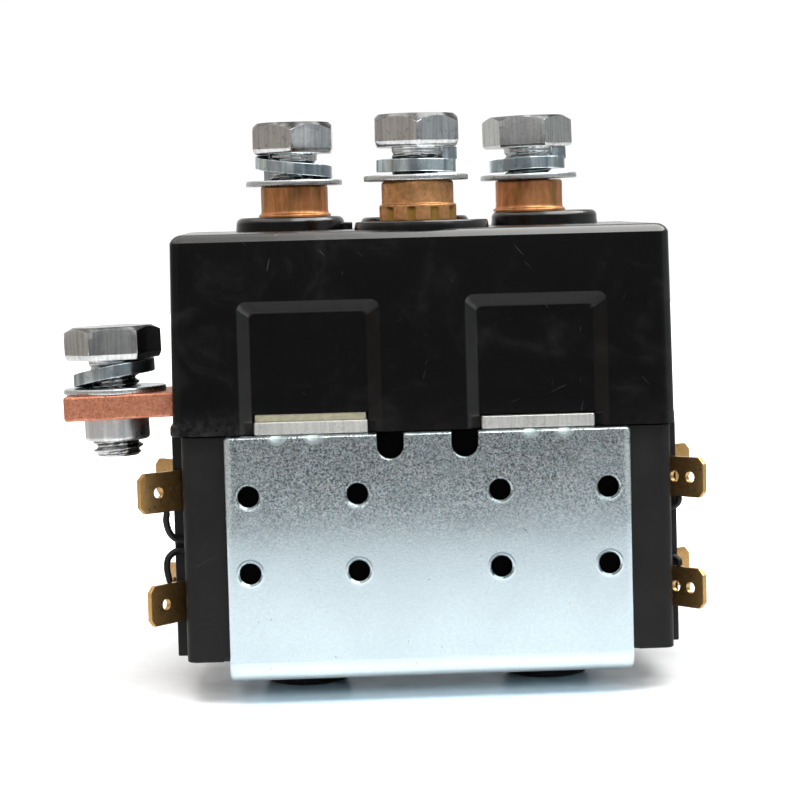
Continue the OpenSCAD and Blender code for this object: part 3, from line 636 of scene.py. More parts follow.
def plastic(name, base, rough, dust=0.0, dust_col=(0.30, 0.30, 0.30), scratch=0.0, depth=0.01, grain=1.6, spec=0.5, flat_spec=None,
            foot=None, behind=None):
    m = Mat(name, base, 0.0, rough)
    m.b.inputs["Specular IOR Level"].default_value = spec
    fine = m.noise(grain, 4.0, 0.65)
    cloud = m.noise(0.10, 5.0, 0.66, distort=0.8)
    specks = m.ramp(m.voronoi(0.8), 0.0, 0.13, 1.0, 0.0)
    speck_mask = m.ramp(m.noise(0.3, 3.0, 0.6), 0.50, 0.70)
    film = m.ramp(cloud, 0.50, 0.82)
    d = m.math("ADD", m.math("MULTIPLY", film, dust), m.math("MULTIPLY", m.math("MULTIPLY", specks, speck_mask), dust * 1.8))
    if foot or behind:
        sep = m.t.nodes.new("ShaderNodeSeparateXYZ")
        m.t.links.new(m.coords(), sep.inputs[0])
    if foot:
        # dust along the lower rim, most of it at the left
        low = m.math("MULTIPLY", m.ramp(sep.outputs[2], foot[0], foot[1], 1.0, 0.0), m.ramp(sep.outputs[0], -30.0, -22.0, 1.0, 0.2))
        d = m.math("ADD", d, m.math("MULTIPLY", m.math("MULTIPLY", low, m.ramp(m.noise(0.8, 5.0, 0.7, distort=0.3), 0.30, 0.75)), foot[2]))
    col = m.mix(m.ramp(fine, 0.3, 0.7), base, tuple(1.3 * c for c in base))
    col = m.mix(m.math("MINIMUM", d, 1.0), col, dust_col)
    if behind:
        # no light reaches the wall behind the plate's holes
        off = m.math("ABSOLUTE", m.math("SUBTRACT", sep.outputs[2], behind[1]))
        shut = m.math("MULTIPLY", m.ramp(m.math("ABSOLUTE", sep.outputs[0]), behind[0] - 0.3, behind[0], 1.0, 0.0), m.ramp(off, behind[2] - 0.3, behind[2], 1.0, 0.0))
        shut = m.math("MULTIPLY", shut, m.ramp(m.facing("Y"), -0.98, -0.90, 1.0, 0.0))
        col = m.mix(shut, col, (0.0005, 0.0005, 0.0005))
        m.set(Specular_IOR_Level=m.ramp(shut, 0.0, 1.0, spec, 0.02))
    r = m.ramp(cloud, 0.3, 0.75, rough * 0.88, rough * 1.25)
    h = fine
    if scratch:
        sc = m.scratches()
        keep = m.ramp(m.noise(0.16, 2.0, 0.5), 0.44, 0.60)
        sc = m.math("MULTIPLY", sc, keep)
        col = m.mix(m.math("MULTIPLY", sc, scratch), col, tuple(min(1, 0.4 * c + 0.05) for c in dust_col))
        r = m.math("ADD", r, m.math("MULTIPLY", sc, 0.2))
        h = m.math("SUBTRACT", h, m.math("MULTIPLY", sc, 0.8))
    if flat_spec:
        m.set(Specular_IOR_Level=m.math("ADD", m.ramp(m.facing("Y"), -0.985, -0.95, flat_spec, spec), m.math("ADD", m.ramp(m.facing("Z"), 0.12, 0.36, 0.0, 0.72), m.ramp(m.facing("X"), 0.30, 0.55, 0.0, 0.45))))
    return m.set(Base_Color=col, Roughness=r, Normal=m.bump(h, depth))


def copper(name, light, dark, rough, depth=0.01, grain=1.5, stain=0.0, stain_col=(0.25, 0.17, 0.05), streak=(1, 1, 1), blots=0.35):
    m = Mat(name, light, 1.0, rough)
    fine = m.noise(grain, 5.0, 0.7, vec=m.coords(scale=streak))
    blot = m.noise(blots, 4.0, 0.6, vec=m.coords(scale=streak))
    col = m.mix(m.ramp(fine, 0.32, 0.72), light, dark)
    if stain:
        col = m.mix(m.math("MULTIPLY", m.ramp(blot, 0.46, 0.66), stain), col, stain_col)
    r = m.ramp(fine, 0.3, 0.7, rough * 0.85, rough * 1.3)
    return m, col, r, m.bump(fine, depth)


def plain_copper(*args, **kw):
    m, col, r, n = copper(*args, **kw)
    return m.set(Base_Color=col, Roughness=r, Normal=n)


MARKS = (-23.2, -17.5, 15.8, 21.1)
R_OUT = 3.6
M_PLATE = zinc_sheet("zinc_plate", (0.72, 0.86, 0.925), (0.28, 0.31, 0.32))
M_YOKE = zinc("zinc_sheared", light=(0.74, 0.745, 0.72), dark=(0.34, 0.34, 0.34), rough=(0.38, 0.55), grain=3.0, depth=0.015,
              streak=((1, 1, 0.06), 2.6))
M_BOLT = zinc("zinc_bolt", light=(0.785, 0.80, 0.805), dark=(0.24, 0.25, 0.27), rough=(0.12, 0.22), grain=2.2, depth=0.007,
              streak=((1, 1, 0.05), 2.2), tops=0.30, bands=0.45)
M_LOCK = zinc("zinc_spring", light=(0.82, 0.95, 1.0), dark=(0.30, 0.36, 0.40), rough=(0.14, 0.26), grain=1.8, depth=0.006,
              streak=((1, 1, 0.1), 0.55), bands=0.85)
M_WASHER = zinc("zinc_washer", light=(0.70, 0.74, 0.75), dark=(0.42, 0.44, 0.46), rough=(0.22, 0.36), grain=2.2, depth=0.006)
M_NUT = zinc("zinc_nut", light=(0.93, 0.95, 0.96), dark=(0.38, 0.40, 0.42), rough=(0.26, 0.42), grain=2.0, depth=0.008, pit=0.20,
             streak=((1, 1, 0.08), 0.75), bands=0.55)
M_HOUSING = plastic("black_gloss_moulding", (0.0009, 0.0009, 0.0010), 0.21, dust=0.018, scratch=0.09, depth=0.004, spec=0.25, flat_spec=0.21,
                    foot=(15.4, 20.5, 0.042))
M_CASE = plastic("black_satin_moulding", (0.0024, 0.0024, 0.0026), 0.40, dust=0.010, scratch=0.03, depth=0.010, grain=2.2, spec=0.28,
                 behind=(31.2, -3.85, 19.3))
M_BED = plastic("black_inner_moulding", (0.02, 0.02, 0.02), 0.5, dust=0.01)
M_GASKET = plastic("cream_board", (0.180, 0.172, 0.118), 0.7, dust=0.10, dust_col=(0.15, 0.13, 0.08), depth=0.03, grain=1.2)
M_NYLON = plastic("natural_nylon", (0.78, 0.75, 0.66), 0.45, dust=0.03, dust_col=(0.5, 0.46, 0.36))
M_BROWN = plastic("brown_moulding", (0.26, 0.07, 0.035), 0.42, dust=0.05, dust_col=(0.4, 0.2, 0.12))
M_LEAD = plastic("black_lead", (0.003, 0.003, 0.0034), 0.34, dust=0.01, depth=0.004, spec=0.30)
M_FOOT = plastic("black_oxide", (0.006, 0.006, 0.0065), 0.40, dust=0.01, depth=0.006)
M_BAR = plain_copper("copper_bar", (0.80, 0.36, 0.23), (0.40, 0.13, 0.07), 0.42, depth=0.014, grain=2.4)
M_STUD = plain_copper("copper_stud", (0.86, 0.39, 0.175), (0.54, 0.22, 0.09), 0.38, depth=0.006, grain=0.8, stain=0.55, streak=(1, 1, 0.25))
m_c, c_c, r_c, n_c = copper("copper_collar", (0.88, 0.46, 0.22), (0.60, 0.29, 0.115), 0.38, depth=0.008, grain=1.2, stain=0.4)
c_s = m_c.t.nodes.new("ShaderNodeSeparateXYZ")
m_c.t.links.new(m_c.coords(), c_s.inputs[0])
c_y = m_c.math("SUBTRACT", c_s.outputs[1], FRONT_TY)
c_r = m_c.math("SQRT", m_c.math("ADD", m_c.math("MULTIPLY", c_s.outputs[0], c_s.outputs[0]), m_c.math("MULTIPLY", c_y, c_y)))
flute = m_c.math("MULTIPLY", m_c.ramp(c_r, 5.88, 6.02, 1.0, 0.0), m_c.ramp(c_s.outputs[2], 49.6, 49.85, 1.0, 0.0))
M_COLLAR = m_c.set(Base_Color=m_c.mix(m_c.math("MULTIPLY", flute, 0.85), c_c, (0.50, 0.30, 0.06)), Roughness=r_c, Normal=n_c)
M_BLADE = plain_copper("brass_blade", (0.66, 0.41, 0.16), (0.54, 0.31, 0.11), 0.30, depth=0.0015, grain=0.9)
M_BLADE.node_tree.nodes["Principled BSDF"].inputs["Metallic"].default_value = 0.96
M_CORE = steel("core_iron", (0.50, 0.50, 0.51), 0.36)
M_ROD = steel("rod_steel", (0.66, 0.66, 0.67), 0.22)
M_SPRING = steel("spring_wire", (0.58, 0.59, 0.61), 0.25)
M_TIP = steel("silver_tip", (0.83, 0.82, 0.79), 0.30)
M_TIP_INNER = plain_copper("copper_inner", (0.72, 0.34, 0.20), (0.60, 0.26, 0.14), 0.36)
m_w = Mat("winding_wire", (0.48, 0.19, 0.07), 0.7, 0.3)
wires = m_w.math("SINE", m_w.math("MULTIPLY", m_w.axis("Z", -30, 30), 60 * TAU / 0.45))
M_WINDING = m_w.set(Base_Color=m_w.mix(m_w.ramp(wires, -1, 1), (0.26, 0.08, 0.03), (0.55, 0.22, 0.08)), Normal=m_w.bump(wires, 0.06))

# ---------------------------------------------------------------------------
# the folded bracket: a flat blank with its holes, folded
# ---------------------------------------------------------------------------
R_MID = R_OUT - SHEET / 2
FLAT = PLATE_TOP - (PLATE_BOT + R_OUT)
BEND = math.pi / 2 * R_MID


def fold(v):
    """(x, s, w) of the blank, s down from the top edge as a negative number, to the folded bracket."""
    x, u, w = v[:, 0], -v[:, 1], v[:, 2]
    phi = np.clip((u - FLAT) / R_MID, 0, math.pi / 2)
    r = R_OUT - w
    y = R_OUT - r * np.cos(phi)
    z = PLATE_BOT + R_OUT - r * np.sin(phi)
    y += np.clip(u - FLAT - BEND, 0, None)
    z += np.clip(FLAT - u, 0, None)
    # the sheet swells a little at the sides of the bend
    swell = np.exp(-((phi - 0.9) / 0.55) ** 2) * (w / SHEET) * np.clip((np.abs(x) - 29.5) / 1.8, 0, 1)
    x = x + np.sign(x) * 0.22 * swell
    return np.stack([x, y, z], 1)


def tapped(p, w, s, pitch=0.7, depth=0.16):
    """A wall row of a tapped hole."""
    c = p.mean(0)
    d = p - c
    th = np.arctan2(d[:, 1], d[:, 0])
    wave = np.abs(((w / pitch - th / TAU) % 1.0) * 2 - 1)
    ends = min(1.0, s * 5, (1 - s) * 5)
    r = np.linalg.norm(d, axis=1) + depth * wave * ends
    return c + d / np.linalg.norm(d, axis=1)[:, None] * r[:, None]


def bracket():
    h = PLATE_W / 2
    end = -(FLAT + BEND + LEG_LEN - R_OUT)
    bends = [-(FLAT + BEND * k / 12) for k in range(13)]
    out = [(-h, end), (h, end)]
    rad = [0.6, 0.6]
    side = [(h, s) for s in reversed(bends)]
    out += side
    rad += [0] * len(side)
    out += [(h, 0)]
    rad += [0.7]
    for c in (5.75, -5.75):
        out += [(c + 1.95, 0)]
        rad += [0.35]
        arc = [(c + 1.95 * math.cos(a), -2.05 - 1.95 * math.sin(a)) for a in np.linspace(0, math.pi, 17)]
        out += arc + [(c - 1.95, 0)]
        rad += [0] * 17 + [0.35]
    out += [(-h, 0)]
    rad += [0.7]
    out += [(-h, s) for s in bends]
    rad += [0] * len(bends)
    loops = [dict(pts=rounded(out, rad, 5), b0=0.5, b1=0.2, seg=4)]
    for x in (-27.75, -11, 11, 27.75):
        for z in (-5.95, 5.95):
            loops.append(dict(pts=circle(x, z - PLATE_TOP, 1.65, 40), b0=0.30, b1=0.2, seg=0, wall=tapped, rows=16))
    for x in POLES:
        loops.append(dict(pts=circle(x, -(FLAT + BEND + POLE_Y - R_OUT), 2.65, 40), b0=0.2, b1=0.2, seg=2))
    lines = [((-h + 0.4, s), (h - 0.4, s)) for s in bends]
    v, f = slab(loops, 0.0, SHEET, lines=lines)
    ob = raw("bracket_sheet", fold(v), f)
    # staking marks over the yoke's two tabs
    marks = []
    for x in MARKS:
        d = revolve("mark", [(0, -1)] + [(math.sin(a), -math.cos(a)) for a in np.linspace(0.15, math.pi - 0.15, 17)] + [(0, 1)], 40)
        move(d, mm(Matrix.Translation((x, -0.62, PLATE_TOP + 0.3)) @ Matrix.Diagonal((1.75, 0.92, 1.95, 1))))
        marks.append(d)
    boolean(ob, [join("marks", marks)], "DIFFERENCE")
    return ob


piece(bracket(), M_PLATE, "zinc_plate", "mounting_bracket")

# ---------------------------------------------------------------------------
# yoke plate and gasket, whose tabs show in the front pockets
# ---------------------------------------------------------------------------


def tabbed(name, hw, y0, y1, tabs, y_tab, bores, z0, z1, b, r=0.5):
    """A plate with tabs towards the front."""
    pts, rad = [(hw, y1), (-hw, y1), (-hw, y0)], [r, r, r]
    for cx, tw in tabs:
        pts += [(cx - tw, y0), (cx - tw, y_tab), (cx + tw, y_tab), (cx + tw, y0)]
        rad += [0.3, 0.35, 0.35, 0.3]
    pts += [(hw, y0)]
    rad += [r]
    loops = [dict(pts=rounded(pts, rad, 4), b0=b, b1=b * 0.7, seg=3)]
    for x in POLES:
        loops.append(dict(pts=circle(x, POLE_Y, bores, 64), b0=0.2, b1=0.2, seg=2))
    v, f = slab(loops, z0, z1)
    return raw(name, v, f)


piece(tabbed("yoke_sheet", 30.4, 6.5, 45.4, [(-17.5 + SHIFT, 8.75), (17.5 + SHIFT, 8.75)], 0.35, 5.9, PLATE_TOP, YOKE_TOP, 0.22),
      M_YOKE, "zinc_plate", "yoke_plate")
piece(tabbed("gasket_board", 30.2, 6.6, 45.4, [(-17.5 + SHIFT, 8.6)], 2.0, 7.1, YOKE_TOP, GASKET_TOP - 0.02, 0.08, 0.3),
      M_GASKET, "gasket_cream", "insulating_gasket")

# ---------------------------------------------------------------------------
# coil case
# ---------------------------------------------------------------------------


def coil_case():
    hx, px = 37.9, 39.6
    pts = [(-hx, 2.0), (hx, 2.0), (hx, 9.3), (px, 9.3), (px, 26.7), (hx, 26.7), (hx, 46.0),
           (-hx, 46.0), (-hx, 26.7), (-px, 26.7), (-px, 9.3), (-hx, 9.3)]
    rad = [1.7, 1.7, 0.25, 0.35, 0.35, 0.25, 1.2, 1.2, 0.25, 0.35, 0.35, 0.25]
    v, f = slab([dict(pts=rounded(pts, rad, 6), b0=0.25, b1=0.25, seg=3)], CASE_BOT, PLATE_TOP - 0.05)
    ob = raw("case_moulding", v, f)
    cuts = []
    for s in (-1, 1):
        x = POLES[s > 0]
        cuts.append(move(revolve("c", [(0, -18.3), (15.2, -18.3), (15.2, 20), (0, 20)], 96), mm(Matrix.Translation((x, POLE_Y, 0)))))
        cuts.append(move(revolve("c", [(0, -25), (5.6, -25), (5.6, -10), (0, -10)], 64), mm(Matrix.Translation((x, POLE_Y, 0)))))
    boolean(ob, cuts, "DIFFERENCE")
    cuts = []
    for s in (-1, 1):
        for z in (6.45, -10.95):
            x0, x1 = sorted((s * 38.05, s * 38.95))
            cuts.append(box_ob(x0, x1, 8.0, 27.9, z - 3.2, z + 3.2, 0.0))
    boolean(ob, cuts, "DIFFERENCE")
    wedge = box_ob(-PLATE_W / 2 - 1, PLATE_W / 2 + 1, -0.55, 0.55, -0.55, 0.55)
    move(wedge, mm(Matrix.Translation((0, SHEET, CASE_BOT)) @ Matrix.Rotation(math.radians(45), 4, "X")))
    boolean(ob, [wedge], "DIFFERENCE")
    return ob


def box_ob(x0, x1, y0, y1, z0, z1, b=0.0, r=0.0):
    """A box, or with r rounded upright corners and with b eased rims."""
    pts = [(x0, y0), (x1, y0), (x1, y1), (x0, y1)]
    v, f = slab([dict(pts=rounded(pts, r, 5) if r else pts, b0=b, b1=b, seg=3)], z0, z1)
    return raw("box", v, f)


piece(coil_case(), M_CASE, "case_black", "coil_case")

# ---------------------------------------------------------------------------
# upper housing
# ---------------------------------------------------------------------------
Z0, ZT = PLATE_TOP + 0.12, HOUSING_TOP
LIP = 1.35
POCKET_D, RIM = 1.5, 0.28
EDGE_R = 1.9


def draft_y(z):
    return 0.32 * np.clip((np.asarray(z, float) - Z0) / (ZT - Z0), 0, 1)


def housing_body():
    """Drafted shell with a low lip round its foot and a rounded roof edge."""
    rows = []
    n = 9

    def ring(z, off, rc, lip=0.0):
        t = (z - Z0) / (ZT - Z0)
        x0 = -39.05 + 0.4 * t + off - 0.42 * lip
        x1 = 38.4 - 0.35 * t - off + 0.12 * lip
        y0 = FRONT_Y + 0.02 + float(draft_y(z)) + off
        y1 = BACK_Y - 0.3 * t - off - 0.25 + 0.2 * lip
        pts = [(x0, y0), (x1, y0), (x1, y1), (x0, y1)]
        r = max(0.35, rc - 0.72 * off)
        return [(x, y, z) for x, y in rounded(pts, [r, r * 1.25, r, r], n)]

    rows.append(ring(Z0, 0.0, 1.6, 0.3))
    rows.append(ring(Z0 + 0.10, 0.0, 1.7, 0.75))
    rows.append(ring(Z0 + 0.28, 0.0, 1.8, 1.0))
    rows.append(ring(Z0 + LIP - 0.10, 0.0, 1.8, 1.0))
    rows.append(ring(Z0 + LIP + 0.20, 0.0, 1.75, 0.85))
    rows.append(ring(Z0 + LIP + 0.42, 0.0, 1.7, 0.4))
    rows.append(ring(Z0 + LIP + 0.62, 0.0, 1.6, 0.0))
    for z in (22, 30, 38, 44):
        rows.append(ring(z, 0.0, 1.6))
    # a faint crease, above it the rounded roof edge
    for a in (19, 20.5, 25, 31, 38, 46, 55, 65, 77, 90):
        q = math.radians(a)
        rows.append(ring(ZT - EDGE_R * (1 - math.sin(q)), EDGE_R * (math.cos(math.radians(19)) - math.cos(q)), 1.6))
    out = []
    for r in rows:
        r = np.array(r)
        # the roof falls a little towards the front
        r[:, 2] -= (0.68 - 0.33 * np.clip((r[:, 1] - 3) / 42, 0, 1)) * np.clip((r[:, 2] - 38) / (ZT - 1.4 - 38), 0, 1)
        out.append(r)
    verts, faces = rows_mesh(out)
    m = len(out[0])
    faces.append(tuple(range(m)))
    faces.append(tuple(range(len(verts) - m, len(verts))))
    return raw("housing_shell", verts, faces)


def pocket(cx, hw0, hw1, top0, top1):
    """The space of one front pocket: flared rim, sloping walls, eased floor."""
    depth = POCKET_D
    rows = [(-1.2, hw0 + RIM, top0 + RIM, 1.5), (-0.02, hw0 + RIM, top0 + RIM, 1.5)]
    # the rim: a rounded shoulder between the front face and the slope
    for a in np.linspace(0.2, 1.0, 5):
        ang = a * math.radians(48)
        rows.append((RIM * 1.3 * (1 - math.cos(ang)), hw0 + RIM - RIM * 1.3 * math.sin(ang), top0 + RIM - RIM * 1.3 * math.sin(ang), 1.5 - 0.3 * a))
    d0, h0, t0 = rows[-1][0], rows[-1][1], rows[-1][2]
    for t in (0.3, 0.6, 0.86):
        rows.append((d0 + (depth - d0) * t, h0 + (hw1 - h0) * t, t0 + (top1 - t0) * t, 1.3 - 0.4 * t))
    for t, g in ((0.94, 0.0), (0.985, 0.06), (1.0, 0.2)):
        rows.append((d0 + (depth - d0) * t, h0 + (hw1 - h0) * t - g, t0 + (top1 - t0) * t - g, 0.9))
    out = []
    for d, hw, top, r in rows:
        pts = rounded([(cx - hw, 9.0), (cx + hw, 9.0), (cx + hw, top), (cx - hw, top)], [0.0, 0.0, r, r], 8)
        out.append([(x, FRONT_Y + 0.02 + d + float(draft_y(z)), z) for x, z in pts])
    verts, faces = rows_mesh(out)
    m = len(out[0])
    faces.append(tuple(range(m)))
    faces.append(tuple(range(len(verts) - m, len(verts))))
    return raw("pocket", verts, faces)


def boss(x, y, r, top, edge, low=45.6):
    prof = [(0, low), (r + 0.12, low)] + [(r + 0.12, HOUSING_TOP - 0.4), (r + 0.02, HOUSING_TOP + 0.25)]
    prof += arc2(r - edge, top - edge, edge, 0, 90, 6) + [(0, top)]
    ob = revolve("boss", prof, 96)
    return move(ob, mm(Matrix.Translation((x, y, 0))))


def housing():
    ob = housing_body()
    # hollow inside, with the walls behind the pockets left standing
    cav = box_ob(-36.5, 35.8, 2.9, 45.6, Z0 - 2, ZT - 2.5, 0.0, 1.0)
    keep = [box_ob(s * 17.5 + SHIFT - 12.4, s * 17.5 + SHIFT + 12.4, -1, 4.0, Z0 - 3, 38.2) for s in (-1, 1)]
    posts = [move(revolve("post", [(0, Z0 - 3), (3.0, Z0 - 3), (3.0, ZT + 2), (0, ZT + 2)], 48), mm(Matrix.Translation((s * COVER_X, 42.6, 0)))) for s in (-1, 1)]
    boolean(cav, keep + posts, "DIFFERENCE")
    boolean(ob, [cav], "DIFFERENCE")
    adds = [boss(-20.05, REAR_TY, 8.95, 48.75, 1.05), boss(22.2, REAR_TY, 8.75, 48.75, 0.95)]
    adds.append(boss(0.6, REAR_TY, 8.9, 48.35, 0.8))
    adds.append(boss(0.5, FRONT_TY, 10.45, 47.6, 0.35))
    adds.append(box_ob(-13.5, -9.8, 33.8, 38.2, 45.6, 47.7, 0.25, 0.6))
    for a in adds:
        boolean(ob, [a], "UNION")
    cuts = [pocket(-17.5 + SHIFT, 10.75, 9.0, 35.6, 34.05), pocket(17.5 + SHIFT, 10.75, 9.0, 35.9, 34.25)]
    cuts.append(box_ob(-17.5 + SHIFT - 8.9, -17.5 + SHIFT + 8.9, -1, 8, 10, GASKET_TOP + 0.05))
    cuts.append(box_ob(17.5 + SHIFT - 8.9, 17.5 + SHIFT + 8.9, -1, 8, 10, YOKE_TOP + 0.22))
    cuts.append(box_ob(-50, -30, FRONT_TY - BAR_W / 2 - 0.1, FRONT_TY + BAR_W / 2 + 0.1, GASKET_TOP - 0.12, BAR_TOP + 0.15))
    cuts.append(box_ob(-30.6, 30.6, 6.3, 45.7, 10, YOKE_TOP + 0.2))
    for c in cuts:
        boolean(ob, [c], "DIFFERENCE")
    holes = [move(revolve("h", [(0, 40), (5.6, 40), (5.6, 60), (0, 60)], 96), mm(Matrix.Translation((x, REAR_TY, 0)))) for x in POLES]
    holes.append(move(revolve("h", [(0, 40), (5.7, 40), (5.7, 60), (0, 60)], 96), mm(Matrix.Translation((0, FRONT_TY, 0)))))
    for s in (-1, 1):
        holes.append(move(revolve("h", [(0, 10), (1.6, 10), (1.6, ZT - 2.6), (2.6, ZT - 2.6), (2.6, ZT - 0.2), (2.85, ZT + 0.02), (2.85, ZT + 4), (0, ZT + 4)], 64),
                          mm(Matrix.Translation((s * COVER_X, 42.6, 0)))))
    for h in holes:
        boolean(ob, [h], "DIFFERENCE")
    return ob


piece(housing(), M_HOUSING, "housing_black", "upper_housing", sharp=38)

# cover screws: pan heads with a cross recess, sunk in the roof
screws = []
for s in (-1, 1):
    zt = HOUSING_TOP - 0.6
    hd = revolve("screw", [(0, 4), (1.0, 4.0), (1.45, 4.8), (1.45, zt - 2.0), (2.5, zt - 2.0)] + arc2(1.75, zt - 0.9, 0.75, -10, 80, 5) + [(1.0, zt), (0, zt + 0.03)], 48)
    cross = [box_ob(-1.5, 1.5, -0.33, 0.33, zt - 1.2, zt + 2), box_ob(-0.33, 0.33, -1.5, 1.5, zt - 1.2, zt + 2)]
    for c in cross:
        boolean(hd, [c], "DIFFERENCE")
    move(hd, mm(Matrix.Translation((s * COVER_X, 42.6, 0)) @ Matrix.Rotation(math.radians(20 + 30 * s), 4, "Z")))
    screws.append(hd)
piece(join("cover_screw_pair", screws), M_BOLT, "zinc_hardware", "cover_screws")

# ---------------------------------------------------------------------------
# feet: the round heads of the core screws
# ---------------------------------------------------------------------------


def foot(name, x):
    r, zb = 7.2, FOOT_BOT
    n = 96
    th = TAU * np.arange(n) / n
    c, s = np.cos(th), np.sin(th)
    hexr = 2.0 / np.cos((th + math.pi / 6) % (math.pi / 3) - math.pi / 6)

    def row(rr, z):
        rr = np.broadcast_to(rr, (n,))
        return np.stack([rr * c, rr * s, np.full(n, float(z))], 1)

    rows = [[(0, 0, zb + 2.2)], row(hexr * 0.9, zb + 2.1), row(hexr, zb + 1.9), row(hexr, zb + 0.25), row(hexr + 0.12, zb + 0.06), row(hexr + 0.3, zb)]
    rows += [row(4.6, zb), row(r - 1.9, zb)]
    rows += [row(a, b) for a, b in arc2(r - 1.6, zb + 1.6, 1.6, -80, 0, 8)]
    rows += [row(r, PLATE_BOT - 0.25), row(r - 0.2, PLATE_BOT - 0.03), row(r - 0.5, PLATE_BOT), row(2.48, PLATE_BOT), row(2.48, -15.6), row(2.0, -15.0), [(0, 0, -15.0)]]
    v, f = rows_mesh(rows)
    ob = raw(name, v, f)
    return move(ob, mm(Matrix.Translation((x, POLE_Y, 0))))


piece(foot("foot_left", POLES[0]), M_FOOT, "black_foot", "left_core_screw")
piece(foot("foot_right", POLES[1]), M_FOOT, "black_foot", "right_core_screw")

# ---------------------------------------------------------------------------
# busbar and nut
# ---------------------------------------------------------------------------


def busbar():
    y0, y1 = FRONT_TY - BAR_W / 2, FRONT_TY + BAR_W / 2
    xs = [BEND_X - 0.8, BEND_X - 0.4, BEND_X, BEND_X + 0.4, BEND_X + 0.8]
    pts = [(BAR_X0, y0)] + [(x, y0) for x in xs] + [(-34.2, y0), (-34.2, FRONT_TY - 5)]
    rad = [0.7] + [0] * len(xs) + [0.5, 0.5]
    end = [(POLES[1] + 5 * math.cos(a), FRONT_TY + 5 * math.sin(a)) for a in np.linspace(-math.pi / 2, math.pi / 2, 25)]
    pts += end
    rad += [0] * len(end)
    pts += [(-34.2, FRONT_TY + 5), (-34.2, y1)] + [(x, y1) for x in reversed(xs)] + [(BAR_X0, y1)]
    rad += [0.5, 0.5] + [0] * len(xs) + [0.7]
    loops = [dict(pts=rounded(pts, rad, 6), b0=0.42, b1=0.42, seg=4),
             dict(pts=circle(BOLT_X, FRONT_TY, 4.52, 64), b0=0.15, b1=0.15, seg=2)]
    lines = [((x, y0 + 0.5), (x, y1 - 0.5)) for x in xs]
    v, f = slab(loops, GASKET_TOP, BAR_TOP, lines=lines)
    return raw("busbar_strip", droop(v), f)


piece(busbar(), M_BAR, "copper_bar", "side_busbar")

g = GASKET_TOP
nut = revolve("press_nut", [(3.95, BAR_TOP - 0.35), (4.15, BAR_TOP - 0.12), (4.44, BAR_TOP - 0.12), (4.48, BAR_TOP - 0.3), (4.48, g), (4.9, g - 0.01), (5.03, g - 0.06), (5.06, g - 0.2), (5.06, g - 2.9)]
              + arc2(4.5, g - 3.1, 0.56, 0, -80, 6) + [(4.45, g - 3.68), (4.15, g - 3.66), (3.98, g - 3.45), (3.95, g - 3.2)], 96, ring=True)
move(nut, mm(Matrix.Translation((BEND_X, 0, BAR_TOP)) @ Matrix.Rotation(math.radians(DROOP), 4, "Y") @ Matrix.Translation((-BEND_X + BOLT_X, FRONT_TY, -BAR_TOP))))
piece(nut, M_NUT, "zinc_hardware", "clinch_nut")

# ---------------------------------------------------------------------------
# copper terminals
# ---------------------------------------------------------------------------


def motor_terminal(name, x, bore):
    t = TERM_TOP
    prof = [(bore, t - 13), (bore, t - 0.4), (bore + 0.35, t)] + arc2(5.55 - 0.4, t - 0.4, 0.4, 90, 0, 4)
    prof += [(5.55, 49.9), (5.58, 49.5), (5.68, 49.28), (5.9, 49.16), (5.98, 49.05), (6.0, 48.9), (5.98, 48.76), (5.55, 48.75)]
    prof += [(5.55, 35.45), (5.45, 35.36), (4.0, 35.35), (4.0, 32.95), (3.9, 32.86), (0, 32.85)]
    prof = [(0, t - 13)] + prof
    return move(revolve(name, prof, 112), mm(Matrix.Translation((x, REAR_TY, 0))))


piece(motor_terminal("motor_stud_left", POLES[0], 3.98), M_STUD, "copper_stud", "left_motor_terminal")
piece(motor_terminal("motor_stud_right", POLES[1], 4.22), M_STUD, "copper_stud", "right_motor_terminal")

FLUTES, FLUTE_A0 = 10, 5.15


def supply_terminal():
    t = TERM_TOP
    z_lo, z_hi = 47.6, 50.15

    def radius(r, z, th):
        rr = np.full(len(th), float(r))
        if r < 5.9 or z > 49.8 or z < z_lo - 0.01:
            return rr
        step = TAU / FLUTES
        d = (th - math.radians(FLUTE_A0) + step / 2) % step - step / 2
        off = 6.85 * np.abs(np.sin(d))
        groove = 6.85 * np.cos(d) - np.sqrt(np.clip(1.15 ** 2 - off ** 2, 0, None))
        groove = np.where(off < 1.15, groove, 99)
        depth = np.clip((rr - groove), 0, None)
        k = 1.0 if z < 49.45 else max(0.0, (49.8 - z) / 0.35)
        return rr - depth * k

    prof = [(0, t - 13), (3.98, t - 13), (3.98, t - 0.4), (4.35, t)] + arc2(5.65 - 0.55, t - 0.55, 0.55, 90, 0, 5)
    prof += [(5.65, 50.5), (5.67, 50.25), (5.72, 50.17), (5.8, z_hi)] + arc2(6.05 - 0.22, z_hi - 0.22, 0.22, 90, 0, 3)
    prof += [(6.05, z) for z in (49.85, 49.79, 49.7, 49.6, 49.5, 49.44, 49.0, 48.5, 48.0, z_lo + 0.2)] + [(6.02, z_lo + 0.05), (5.9, z_lo)]
    prof += [(5.65, z_lo), (5.65, 35.45), (5.55, 35.36), (4.0, 35.35), (4.0, 32.95), (3.9, 32.86), (0, 32.85)]
    ob = revolve("supply_stud", prof, 288, radius=radius)
    return move(ob, mm(Matrix.Translation((0, FRONT_TY, 0))))


piece(supply_terminal(), M_COLLAR, "copper_stud", "supply_terminal", sharp=50)

# ---------------------------------------------------------------------------
# hexagon screws, split washers, flat washers
# ---------------------------------------------------------------------------


